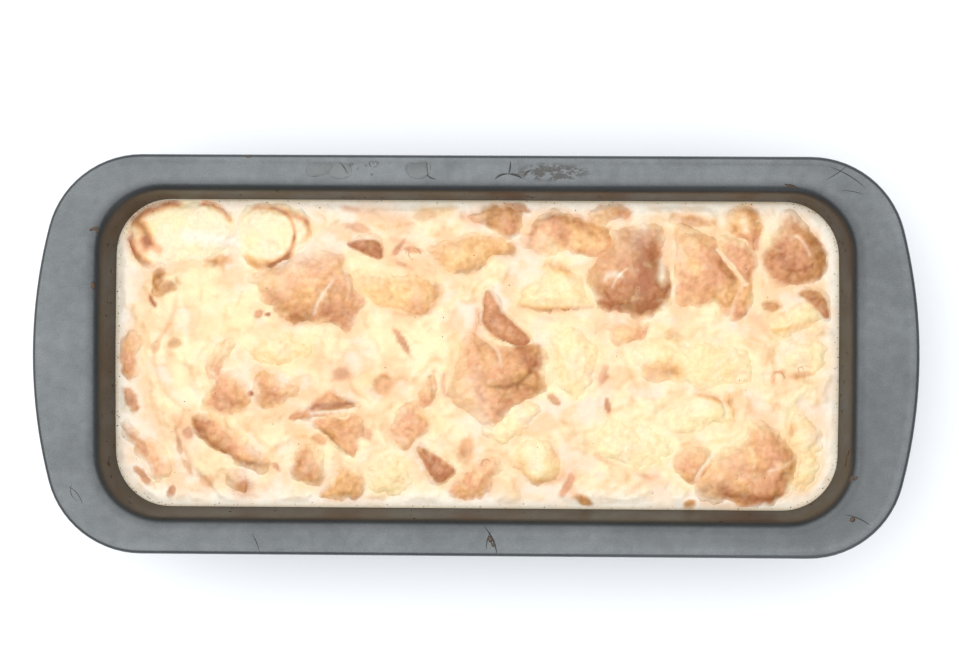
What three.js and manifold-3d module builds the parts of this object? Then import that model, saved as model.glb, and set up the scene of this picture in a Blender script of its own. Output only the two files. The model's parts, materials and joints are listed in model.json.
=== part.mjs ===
// A loaf tin of bread pudding, ready for the oven: torn bread in egg custard, in a pressed steel tin.
// Millimetres, +Z up, +X along the tin. The origin is the centre of the tin's underside.
//
// The tin is one pressed sheet: flat base, leaning walls, a rolled mouth and a flat rim that is wider at
// its bowed ends and turned down at its edge. The custard fills it to a little under the mouth. Each piece
// of bread is a rounded lump that floats in a pocket of the custard, with its top just clear of the surface.

import * as THREE from "three";
import { mergeVertices } from "three/addons/utils/BufferGeometryUtils.js";
import Module from "manifold-3d";

const wasm = await Module();
wasm.setup();

// ---- Driving sizes ------------------------------------------------------------------------------------

const TIN_HEIGHT = 62;
const SHEET = 0.8; // thickness of the steel
const LEAN = 0.187; // how far a wall leans out for each mm of height
const BASE_FILLET = 6;
const MOUTH_ROLL = 3; // radius of the roll from wall to rim
const RIM_DISH = 0.4; // the rim is this much lower between its roll and its edge
const RIM_BLEND = 3; // the dish starts this far in from the rolls on either side of it
const EDGE_ROLL = 1.4; // radius of the turned-down edge
const EDGE_DROP = 3.2; // how far the edge hangs below the rim's top
const GAP = 0.3; // between pieces that touch
const FINEST = 0.08; // detail smaller than this is smoothed off a cut
const CUSTARD_LEVEL = TIN_HEIGHT - 13;

// An outline is a rectangle whose ends are arcs and whose corners are rounded.
const RIM = { halfLength: 142.5, halfWidth: 64.4, corner: 31, endRadius: 165 };
const MOUTH = { halfLength: 124, halfWidth: 55.5, corner: 23, endRadius: 2400 };

const END_STEPS = 2; // steps along half an end, one corner and half a long side
const CORNER_STEPS = 5;
const SIDE_STEPS = 1;
const ARC_STEPS = 2; // steps round a fillet or roll of the tin's section

const LUMP_AROUND = 8; // facets of a piece of bread, round and from top to bottom
const LUMP_DOWN = 5;
const LUMP_DEPTH = 7; // half the thickness of an ordinary piece
const LUMP_FLATNESS = 3; // 2 is an ellipsoid, more has a flatter top
const KNOBBLE = 0.05; // how much a lump's outline wanders, as a part of its size

// ---- Bread --------------------------------------------------------------------------------------------
// x, y: the middle. length, width: the patch that shows above the custard. turn: degrees from +X.
// rise: height of the top over the custard. taper: how much narrower the far end is, from 0 to 1.
// bend: how far the ends curl to the left of the length. square: 0 is round, 1 is boxy.
// tip: degrees that the left side is lifted. depth: half the thickness, where it isn't the usual one.

const BREAD = [
  { name: "roll_slice_1", x: -99, y: 38.5, length: 33, width: 21, turn: 2, rise: 2.2, square: 0.3 },
  { name: "roll_slice_2", x: -68.5, y: 38.5, length: 21, width: 19.5, turn: 10, rise: 2.6, square: 0.2 },
  { name: "crust_01", x: -55, y: 20.5, length: 29, width: 20, turn: 22, rise: 3.8, bend: -2, tip: -6 },
  {
    name: "crust_02", x: -36.5, y: 35, length: 10.5, width: 5.5, turn: 172,
    rise: 1.2, taper: 0.9, square: 0.8, depth: 4,
  },
  {
    name: "crust_03", x: 7.5, y: 44.5, length: 15, width: 9.5, turn: -30,
    rise: 2, square: 0.5, depth: 5,
  },
  { name: "crust_04", x: 27, y: 38.5, length: 26, width: 15.5, turn: -16, rise: 3, bend: -2.5, tip: 5 },
  { name: "crust_05", x: 50, y: 25.5, length: 27, width: 24, turn: 60, rise: 4, square: 0.4 },
  {
    name: "crust_06", x: 44, y: 46.5, length: 13.5, width: 5.5, turn: -4,
    rise: 1.1, square: 0.4, depth: 4,
  },
  { name: "crust_07", x: 74.5, y: 28, length: 25, width: 21, turn: 84, rise: 3.4, square: 0.8, tip: 4 },
  {
    name: "crust_08", x: 88.5, y: 23, length: 24, width: 8, turn: -58,
    rise: 2.2, square: 0.3, bend: 1.5, depth: 6,
  },
  {
    name: "crust_09", x: 87.5, y: 42.5, length: 14, width: 9.5, turn: 80,
    rise: 1.8, square: 0.3, depth: 5,
  },
  {
    name: "crust_10", x: 104, y: 33.5, length: 23, width: 19, turn: 92,
    rise: 3.2, taper: 0.45, square: 0.3,
  },
  {
    name: "crust_11", x: 110, y: 18, length: 11.5, width: 4.5, turn: -42,
    rise: 1.6, taper: 0.5, depth: 4,
  },
  { name: "crust_12", x: 49, y: 8.8, length: 14, width: 6.5, turn: -2, rise: 1.3, square: 0.9, depth: 4 },
  {
    name: "crust_13", x: 8.5, y: 12, length: 14.5, width: 8.5, turn: 134,
    rise: 2.6, taper: 0.8, square: 0.7, tip: 8, depth: 5.5,
  },
  { name: "crust_14", x: 9.5, y: -7, length: 25, width: 21, turn: 38, rise: 4, square: 0.2, tip: -5 },
  { name: "crust_15", x: 93, y: -34.5, length: 24, width: 22, turn: 52, rise: 3.8, square: 0.5 },
  {
    name: "crust_16", x: 75.5, y: -38.5, length: 15.5, width: 12, turn: 72,
    rise: 2.2, square: 0.4, depth: 6,
  },
  {
    name: "crust_17", x: -114.5, y: -1.5, length: 15.5, width: 4.5, turn: 90,
    rise: 1, square: 0.9, depth: 3.5,
  },
  {
    name: "crust_18", x: -112, y: -28.5, length: 12, width: 4, turn: -50,
    rise: 1.1, taper: 0.5, depth: 3.5,
  },
  {
    name: "crust_19", x: -104, y: -36, length: 13, width: 5, turn: -66,
    rise: 1, square: 0.4, depth: 3.5,
  },
  {
    name: "crust_20", x: -82.5, y: -29, length: 31, width: 10, turn: -35,
    rise: 2.8, bend: 3, tip: -12, depth: 6,
  },
  {
    name: "crust_21", x: -84.5, y: -8.5, length: 24, width: 9, turn: 82,
    rise: 2.4, bend: -3, tip: 6, depth: 6,
  },
  {
    name: "crust_22", x: -67, y: -12, length: 14, width: 11.5, turn: 20,
    rise: 2, taper: 0.85, square: 0.4, tip: -8, depth: 5,
  },
  {
    name: "crust_23", x: -47.5, y: -17, length: 19, width: 7.5, turn: 192,
    rise: 2.2, taper: 0.7, square: 0.5, tip: 12, depth: 5,
  },
  {
    name: "crust_24", x: -44, y: -27.5, length: 14.5, width: 12.5, turn: -72,
    rise: 2.2, taper: 0.9, square: 0.8, depth: 5,
  },
  {
    name: "crust_25", x: -55.5, y: -36.5, length: 13, width: 9.5, turn: 62,
    rise: 2.4, square: 0.5, depth: 5.5,
  },
  {
    name: "crust_26", x: -43.5, y: -41.5, length: 12.5, width: 11, turn: 35,
    rise: 2, square: 0.4, depth: 5.5,
  },
  {
    name: "crust_27", x: -15, y: -11, length: 13, width: 7.5, turn: 62,
    rise: 1.8, square: 0.3, depth: 5,
  },
  {
    name: "crust_28", x: -22, y: -25, length: 13, width: 8.5, turn: 42,
    rise: 1.8, square: 0.7, depth: 5,
  },
  {
    name: "crust_29", x: -13.5, y: -36.5, length: 13.5, width: 6.5, turn: -42,
    rise: 2.4, square: 0.7, tip: -8, depth: 5,
  },
  { name: "crust_30", x: -78, y: -44, length: 9.5, width: 4.5, turn: -62, rise: 0.9, depth: 3.5 },
  { name: "crumb_01", x: -25.5, y: 20.5, length: 28, width: 15, turn: -12, rise: 2.8, square: 0.5 },
  {
    name: "crumb_02", x: -1.5, y: 32.5, length: 28, width: 10, turn: 22,
    rise: 2.6, bend: 1.5, taper: 0.25, tip: 5,
  },
  { name: "crumb_03", x: 25.5, y: 21, length: 26, width: 17, turn: -2, rise: 3, square: 0.7 },
  {
    name: "crumb_04", x: 105.5, y: 11.5, length: 19, width: 8.5, turn: 20,
    rise: 2.2, square: 0.3, depth: 5,
  },
  { name: "crumb_05", x: 106, y: 0, length: 13, width: 10.5, turn: 15, rise: 2.2, depth: 6 },
  { name: "crumb_06", x: 32.5, y: -3, length: 25, width: 18, turn: 82, rise: 2.8, square: 0.2 },
  { name: "crumb_07", x: 70, y: -1, length: 34, width: 18, turn: -6, rise: 3.2, square: 0.3 },
  {
    name: "crumb_08", x: 72.5, y: -20.5, length: 26, width: 12, turn: 4,
    rise: 2.6, square: 0.3, bend: -1.5,
  },
  {
    name: "crumb_09", x: 108, y: -32, length: 24, width: 8.5, turn: 96,
    rise: 1.6, square: 0.2, depth: 6,
  },
  {
    name: "crumb_10", x: -2.5, y: -39, length: 17, width: 12, turn: 62,
    rise: 1.6, square: 0.2, depth: 6,
  },
  {
    name: "crumb_11", x: 21.5, y: -35.5, length: 16, width: 11, turn: -72,
    rise: 2.4, square: 0.4, depth: 6,
  },
  {
    name: "crumb_12", x: 14.5, y: -22.5, length: 16, width: 9.5, turn: 36,
    rise: 2.2, square: 0.2, depth: 6,
  },
  {
    name: "crumb_13", x: -28.5, y: -38.5, length: 17, width: 14, turn: -24,
    rise: 2.2, square: 0.3, depth: 6,
  },
  { name: "crumb_14", x: -66, y: 2.5, length: 24, width: 11, turn: -8, rise: 2, square: 0.2, depth: 5 },
  { name: "crumb_15", x: 52, y: -30, length: 25, width: 17, turn: -20, rise: 2, square: 0.2, depth: 6 },
];

const COLOURS = {
  tin: { color: 0x70757a, roughness: 0.45, metalness: 0.35 },
  custard: { color: 0xfdeccb, roughness: 0.3, metalness: 0 },
  crust: { color: 0xd9a57a, roughness: 0.6, metalness: 0 },
  crumb: { color: 0xf6dfa2, roughness: 0.65, metalness: 0 },
  roll_slice: { color: 0xf8e6bf, roughness: 0.65, metalness: 0 },
};

// ---- Outlines -----------------------------------------------------------------------------------------

// One quarter of an outline, from the middle of the +X end to just short of the middle of the +Y side.
function quarterOutline({ halfLength, halfWidth, corner, endRadius }) {
  const endCentre = halfLength - endRadius;
  const cornerY = halfWidth - corner;
  const cornerX = endCentre + Math.sqrt((endRadius - corner) ** 2 - cornerY ** 2);
  const meet = Math.atan2(cornerY, cornerX - endCentre);
  const points = [];
  for (let i = 0; i < END_STEPS; i++) {
    const a = (meet * i) / END_STEPS;
    points.push([endCentre + endRadius * Math.cos(a), endRadius * Math.sin(a)]);
  }
  for (let i = 0; i < CORNER_STEPS; i++) {
    const a = meet + ((Math.PI / 2 - meet) * i) / CORNER_STEPS;
    points.push([cornerX + corner * Math.cos(a), cornerY + corner * Math.sin(a)]);
  }
  for (let i = 0; i < SIDE_STEPS; i++) {
    points.push([cornerX * (1 - i / SIDE_STEPS), halfWidth]);
  }
  return points;
}

// The whole outline, anticlockwise, made of the quarter and its mirror images.
function fullOutline(outline) {
  const quarter = quarterOutline(outline);
  const middle = [0, outline.halfWidth];
  const back = [middle, ...quarter.slice(1).reverse()].map(([x, y]) => [-x, y]);
  const half = [...quarter, ...back];
  return [...half, ...half.map(([x, y]) => [-x, -y])];
}

// The same outline moved in by a distance.
function inset({ halfLength, halfWidth, corner, endRadius }, distance) {
  return {
    halfLength: halfLength - distance,
    halfWidth: halfWidth - distance,
    corner: Math.max(corner - distance, 1),
    endRadius: endRadius - distance,
  };
}

// ---- Sections -----------------------------------------------------------------------------------------
// A section is a list of stations. Each is an outline, how far inside it the surface lies, and a height.
// A station with no outline is on the middle line.

function arc(outline, centreInset, centreZ, radius, fromDegrees, toDegrees) {
  const stations = [];
  for (let i = 0; i <= ARC_STEPS; i++) {
    const a = THREE.MathUtils.degToRad(fromDegrees + ((toDegrees - fromDegrees) * i) / ARC_STEPS);
    stations.push({ outline, inset: centreInset - radius * Math.cos(a), z: centreZ + radius * Math.sin(a) });
  }
  return stations;
}

const LEAN_DEGREES = THREE.MathUtils.radToDeg(Math.atan(LEAN));
const ROLL_Z = TIN_HEIGHT - MOUTH_ROLL;

// How far inside the mouth's outline the inner wall is at a height.
const ROLL_END_INSET = MOUTH_ROLL * Math.cos(Math.atan(LEAN));
const ROLL_END_Z = ROLL_Z + MOUTH_ROLL * Math.sin(Math.atan(LEAN));
function wallInset(z) {
  return ROLL_END_INSET + (ROLL_END_Z - z) * LEAN;
}

// The rounded foot of a wall: a fillet between the base at a height and a wall offset inwards by a margin.
function foot(baseZ, radius, margin) {
  const centreZ = baseZ + radius;
  const centreInset = wallInset(centreZ) + margin + radius / Math.cos(Math.atan(LEAN));
  return arc(MOUTH, centreInset, centreZ, radius, -90, -LEAN_DEGREES);
}

// The tin's inner skin, its rim and edge, and its outer skin, which runs a sheet's thickness outside.
function tinSection() {
  const inner = [
    { outline: null, z: SHEET },
    ...foot(SHEET, BASE_FILLET, 0),
    ...arc(MOUTH, 0, ROLL_Z, MOUTH_ROLL, 180 - LEAN_DEGREES, 90),
  ];
  const rim = [
    { outline: MOUTH, inset: -RIM_BLEND, z: TIN_HEIGHT - RIM_DISH },
    { outline: RIM, inset: EDGE_ROLL + RIM_BLEND, z: TIN_HEIGHT - RIM_DISH },
    ...arc(RIM, EDGE_ROLL, TIN_HEIGHT - EDGE_ROLL, EDGE_ROLL, 90, 0),
    { outline: RIM, inset: 0, z: TIN_HEIGHT - EDGE_DROP },
    { outline: RIM, inset: SHEET, z: TIN_HEIGHT - EDGE_DROP },
    { outline: RIM, inset: SHEET, z: TIN_HEIGHT - EDGE_ROLL },
    { outline: RIM, inset: EDGE_ROLL, z: TIN_HEIGHT - SHEET },
    { outline: RIM, inset: EDGE_ROLL + RIM_BLEND, z: TIN_HEIGHT - RIM_DISH - SHEET },
    { outline: MOUTH, inset: -RIM_BLEND, z: TIN_HEIGHT - RIM_DISH - SHEET },
  ];
  const outer = [
    ...arc(MOUTH, 0, ROLL_Z, MOUTH_ROLL - SHEET, 90, 180 - LEAN_DEGREES),
    ...foot(0, BASE_FILLET + SHEET, -SHEET).reverse(),
    { outline: null, z: 0 },
  ];
  return [...inner, ...rim, ...outer].reverse();
}

function custardSection(margin) {
  const floor = SHEET + margin;
  return [
    { outline: null, z: floor },
    ...foot(floor, BASE_FILLET - margin, margin),
    { outline: MOUTH, inset: wallInset(CUSTARD_LEVEL) + margin, z: CUSTARD_LEVEL },
    { outline: null, z: CUSTARD_LEVEL },
  ];
}

// A lathe turns the section, and each ring of it then takes its station's outline.
function latheRound(section) {
  const ringPoints = fullOutline(MOUTH).length;
  const profile = section.map((station) => new THREE.Vector2(station.outline ? 1 : 0, station.z));
  const geometry = new THREE.LatheGeometry(profile, ringPoints);
  const position = geometry.getAttribute("position");
  section.forEach((station, row) => {
    const ring = station.outline ? fullOutline(inset(station.outline, station.inset)) : null;
    for (let column = 0; column <= ringPoints; column++) {
      const [x, y] = ring ? ring[column % ringPoints] : [0, 0];
      position.setXYZ(column * section.length + row, x, y, station.z);
    }
  });
  return geometry;
}

// ---- Solids -------------------------------------------------------------------------------------------

function toSolid(geometry, matrix = new THREE.Matrix4()) {
  const bare = geometry.clone().applyMatrix4(matrix);
  bare.deleteAttribute("normal");
  bare.deleteAttribute("uv");
  const merged = mergeVertices(bare, 1e-3);
  return new wasm.Manifold(
    new wasm.Mesh({
      numProp: 3,
      vertProperties: new Float32Array(merged.getAttribute("position").array),
      triVerts: new Uint32Array(merged.index.array),
    }),
  );
}

function toGeometry(solid) {
  const { vertProperties, triVerts } = solid.getMesh();
  const geometry = new THREE.BufferGeometry();
  geometry.setAttribute("position", new THREE.BufferAttribute(new Float32Array(vertProperties), 3));
  geometry.setIndex(new THREE.BufferAttribute(new Uint32Array(triVerts), 1));
  return geometry;
}

function largestBody(solid) {
  return solid.decompose().reduce((a, b) => (b.volume() > a.volume() ? b : a));
}

// A lump of bread, or with a margin the pocket that it leaves. A ball is drawn out to a rounded box,
// narrowed towards one end, bent, given a few soft knobs and tipped.
function lump(bread, margin) {
  const { x, y, length, width, turn, rise } = bread;
  const { taper = 0, bend = 0, square = 0, tip = 0, depth = LUMP_DEPTH } = bread;
  const boxiness = 2 + 3 * square;
  const waterline = (1 - ((depth - rise) / depth) ** LUMP_FLATNESS) ** (1 / LUMP_FLATNESS);
  const halfLength = length / 2 / waterline + margin;
  const halfWidth = width / 2 / waterline + margin;
  const geometry = new THREE.SphereGeometry(1, LUMP_AROUND, LUMP_DOWN).rotateX(Math.PI / 2);
  const position = geometry.getAttribute("position");
  const p = new THREE.Vector3();
  for (let i = 0; i < position.count; i++) {
    p.fromBufferAttribute(position, i);
    const across = (Math.abs(p.x) ** boxiness + Math.abs(p.y) ** boxiness) ** (LUMP_FLATNESS / boxiness);
    p.multiplyScalar((across + Math.abs(p.z) ** LUMP_FLATNESS) ** (-1 / LUMP_FLATNESS));
    const knob = 1 + KNOBBLE * Math.sin(3 * p.x + x) * Math.cos(3 * p.y + y);
    const narrowed = 1 - (taper * (p.x + 1)) / 2;
    position.setXYZ(
      i,
      p.x * halfLength * knob,
      p.y * halfWidth * narrowed * knob + bend * p.x ** 2,
      p.z * (depth + margin),
    );
  }
  const place = new THREE.Matrix4()
    .makeTranslation(x, y, CUSTARD_LEVEL + rise - depth)
    .multiply(new THREE.Matrix4().makeRotationZ(THREE.MathUtils.degToRad(turn)))
    .multiply(new THREE.Matrix4().makeRotationX(THREE.MathUtils.degToRad(tip)));
  return toSolid(geometry, place);
}

// ---- The pudding --------------------------------------------------------------------------------------

function material(slot) {
  return new THREE.MeshStandardMaterial(COLOURS[slot]);
}

function mesh(name, geometry, slot) {
  const made = new THREE.Mesh(geometry, material(slot));
  made.name = name;
  return made;
}

// What the bread may fill: the tin's inside, as high as the tin itself.
const inside = toSolid(
  latheRound([
    { outline: null, z: SHEET + GAP },
    ...foot(SHEET + GAP, BASE_FILLET - GAP, GAP),
    { outline: MOUTH, inset: wallInset(TIN_HEIGHT) + GAP, z: TIN_HEIGHT },
    { outline: null, z: TIN_HEIGHT },
  ]),
);

let pockets = null; // the room that the pieces placed so far take up
const pieces = BREAD.map((bread) => {
  let solid = lump(bread, 0).intersect(inside);
  if (pockets) solid = solid.subtract(pockets);
  const pocket = lump(bread, GAP);
  pockets = pockets ? pockets.add(pocket) : pocket;
  return { name: bread.name, solid: largestBody(solid).simplify(FINEST) };
});
const custard = largestBody(toSolid(latheRound(custardSection(GAP))).subtract(pockets)).simplify(FINEST);

const pudding = new THREE.Group();
pudding.add(mesh("loaf_tin", latheRound(tinSection()), "tin"));
pudding.add(mesh("custard", toGeometry(custard), "custard"));
for (const { name, solid } of pieces) {
  const slot = name.replace(/_\d+$/, "");
  pudding.add(mesh(name, toGeometry(solid), slot));
}

export default pudding;
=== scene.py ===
"""Bread pudding ready for the oven: torn bread soaking in egg custard, in a grey loaf tin.

The script is laid out as an add-on. Each operator makes one piece, or one group of like pieces, round the
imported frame. Lengths in the tables are millimetres, in the frame's own axes: +X along the tin, +Z up.
"""

import json
import math
import random
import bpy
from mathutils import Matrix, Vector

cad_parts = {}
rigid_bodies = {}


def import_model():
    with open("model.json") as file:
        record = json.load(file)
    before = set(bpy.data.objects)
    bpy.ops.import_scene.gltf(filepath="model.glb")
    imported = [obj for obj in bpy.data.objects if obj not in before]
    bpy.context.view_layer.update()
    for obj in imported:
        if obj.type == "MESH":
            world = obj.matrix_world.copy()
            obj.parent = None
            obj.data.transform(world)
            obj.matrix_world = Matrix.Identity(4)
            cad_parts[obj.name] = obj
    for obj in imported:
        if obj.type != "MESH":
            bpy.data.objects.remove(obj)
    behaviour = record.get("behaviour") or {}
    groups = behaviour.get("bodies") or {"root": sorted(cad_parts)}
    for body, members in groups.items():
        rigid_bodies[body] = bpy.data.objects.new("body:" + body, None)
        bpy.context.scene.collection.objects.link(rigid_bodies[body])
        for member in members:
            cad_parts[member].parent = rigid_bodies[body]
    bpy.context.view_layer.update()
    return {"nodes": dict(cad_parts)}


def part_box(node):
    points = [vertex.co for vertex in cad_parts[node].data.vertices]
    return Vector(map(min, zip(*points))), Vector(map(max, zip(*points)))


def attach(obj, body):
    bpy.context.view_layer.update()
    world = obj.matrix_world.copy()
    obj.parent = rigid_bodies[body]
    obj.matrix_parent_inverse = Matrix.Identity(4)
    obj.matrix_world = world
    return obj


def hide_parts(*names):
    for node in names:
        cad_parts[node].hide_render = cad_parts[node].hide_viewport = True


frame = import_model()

from types import SimpleNamespace

import bmesh
import bpy
import numpy as np
from bpy.props import FloatProperty, FloatVectorProperty, PointerProperty
from bpy.types import Operator, Panel, PropertyGroup
from mathutils import Matrix, Vector, noise
from mathutils.bvhtree import BVHTree
from mathutils.kdtree import KDTree

bl_info = {
    "name": "Bread pudding in a loaf tin",
    "version": (1, 0, 0),
    "blender": (4, 5, 0),
    "location": "View3D > Sidebar > Pudding",
    "description": "Makes a loaf tin of bread pudding round its packed frame",
    "category": "Add Mesh",
}

MM = 0.001


def node_box(node):
    """The lowest and highest corner of a node of the frame, in mm."""
    low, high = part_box(node)
    return Vector(low) / MM, Vector(high) / MM


TIN_HIGH = node_box("loaf_tin")[1]
CUSTARD_LOW, CUSTARD_HIGH = node_box("custard")
RIM_TOP = TIN_HIGH.z
LEVEL = CUSTARD_HIGH.z
BREAD_NODES = sorted(n for n in frame["nodes"] if n.startswith(("crust", "crumb", "roll_slice")))


# ---- Colours -------------------------------------------------------------------------------------------


def paint(code):
    """A colour written as #RRGGBB, in linear light."""
    channels = [int(code[i : i + 2], 16) / 255 for i in (1, 3, 5)]
    return tuple(c / 12.92 if c <= 0.04045 else ((c + 0.055) / 1.055) ** 2.4 for c in channels)


# Bread from untoasted crumb to well baked crust, in five even steps: a pink series and a golden one.
PINK_SERIES = [paint(c) for c in ("#FFEECC", "#F9C899", "#EAA87B", "#CE8B5D", "#B26B3E")]
GOLD_SERIES = [paint(c) for c in ("#FFF0BE", "#FBD090", "#ECB273", "#CA9052", "#A86C38")]

# ---- Bread ---------------------------------------------------------------------------------------------
# How each piece is baked: how brown it is and how golden, mostly from 0 to 1; the direction in which it
# gets browner, in degrees from +X, and by how much; and how crisply it stands out of the custard.

BAKES = {
    "roll_slice_1": (0.0, 0.4, 0, 0.0, 0.6),
    "roll_slice_2": (0.0, 0.3, 0, 0.0, 0.6),
    "crust_01": (0.52, 0.4, -60, 0.4, 0.3),
    "crust_02": (0.9, 0.2, 0, 0.1, 0.9),
    "crust_03": (0.68, 0.5, -30, 0.2, 0.6),
    "crust_04": (0.5, 0.4, 0, 0.1, 0.2),
    "crust_05": (0.75, 0.2, -50, 0.3, 0.4),
    "crust_06": (0.55, 0.7, 0, 0.1, 0.3),
    "crust_07": (0.46, 0.4, -40, 0.25, 0.4),
    "crust_08": (0.55, 0.5, -40, 0.1, 0.5),
    "crust_09": (0.46, 0.6, -20, 0.3, 0.6),
    "crust_10": (0.7, 0.25, -80, 0.1, 0.4),
    "crust_11": (0.82, 0.5, -60, 0.2, 0.9),
    "crust_12": (0.34, 0.5, -80, 0.2, 0.4),
    "crust_13": (0.75, 0.2, -45, 0.25, 0.95),
    "crust_14": (0.56, 0.35, 25, 0.5, 0.4),
    "crust_15": (0.53, 0.4, -40, 0.35, 0.5),
    "crust_16": (0.52, 0.4, -90, 0.3, 0.4),
    "crust_17": (0.5, 0.4, 180, 0.1, 0.3),
    "crust_18": (0.68, 0.3, 0, 0.1, 0.5),
    "crust_19": (0.36, 0.3, 90, 0.1, 0.1),
    "crust_20": (0.57, 0.6, 225, 0.45, 0.4),
    "crust_21": (0.48, 0.35, -80, 0.3, 0.2),
    "crust_22": (0.55, 0.8, 215, 0.4, 0.3),
    "crust_23": (0.6, 0.4, -90, 0.4, 0.8),
    "crust_24": (0.52, 0.4, 200, 0.2, 0.7),
    "crust_25": (0.6, 0.9, 200, 0.2, 0.4),
    "crust_26": (0.52, 1.3, -60, 0.2, 0.2),
    "crust_27": (0.45, 0.2, 200, 0.1, 0.2),
    "crust_28": (0.5, 0.3, -60, 0.2, 0.3),
    "crust_29": (0.75, 0.2, -135, 0.2, 0.9),
    "crust_30": (0.75, 0.2, 0, 0.0, 0.0),
    "crumb_01": (0.32, 0.9, -75, 0.2, 0.1),
    "crumb_02": (0.46, 1.0, -50, 0.25, 0.2),
    "crumb_03": (0.08, 0.9, -80, 0.1, 0.0),
    "crumb_04": (0.1, 0.8, 180, 0.1, 0.1),
    "crumb_05": (0.1, 0.8, -60, 0.1, 0.1),
    "crumb_06": (0.07, 0.8, 0, 0.1, 0.0),
    "crumb_07": (0.07, 0.9, 0, 0.1, 0.0),
    "crumb_08": (0.06, 0.9, 0, 0.1, 0.0),
    "crumb_09": (0.12, 0.8, -90, 0.1, 0.0),
    "crumb_10": (0.44, 0.3, -120, 0.15, 0.2),
    "crumb_11": (0.16, 1.0, -60, 0.2, 0.3),
    "crumb_12": (0.06, 0.8, -60, 0.1, 0.1),
    "crumb_13": (0.08, 0.9, -60, 0.1, 0.0),
    "crumb_14": (0.14, 0.9, -60, 0.1, 0.0),
    "crumb_15": (0.06, 0.9, 0, 0.0, 0.0),
}

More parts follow.
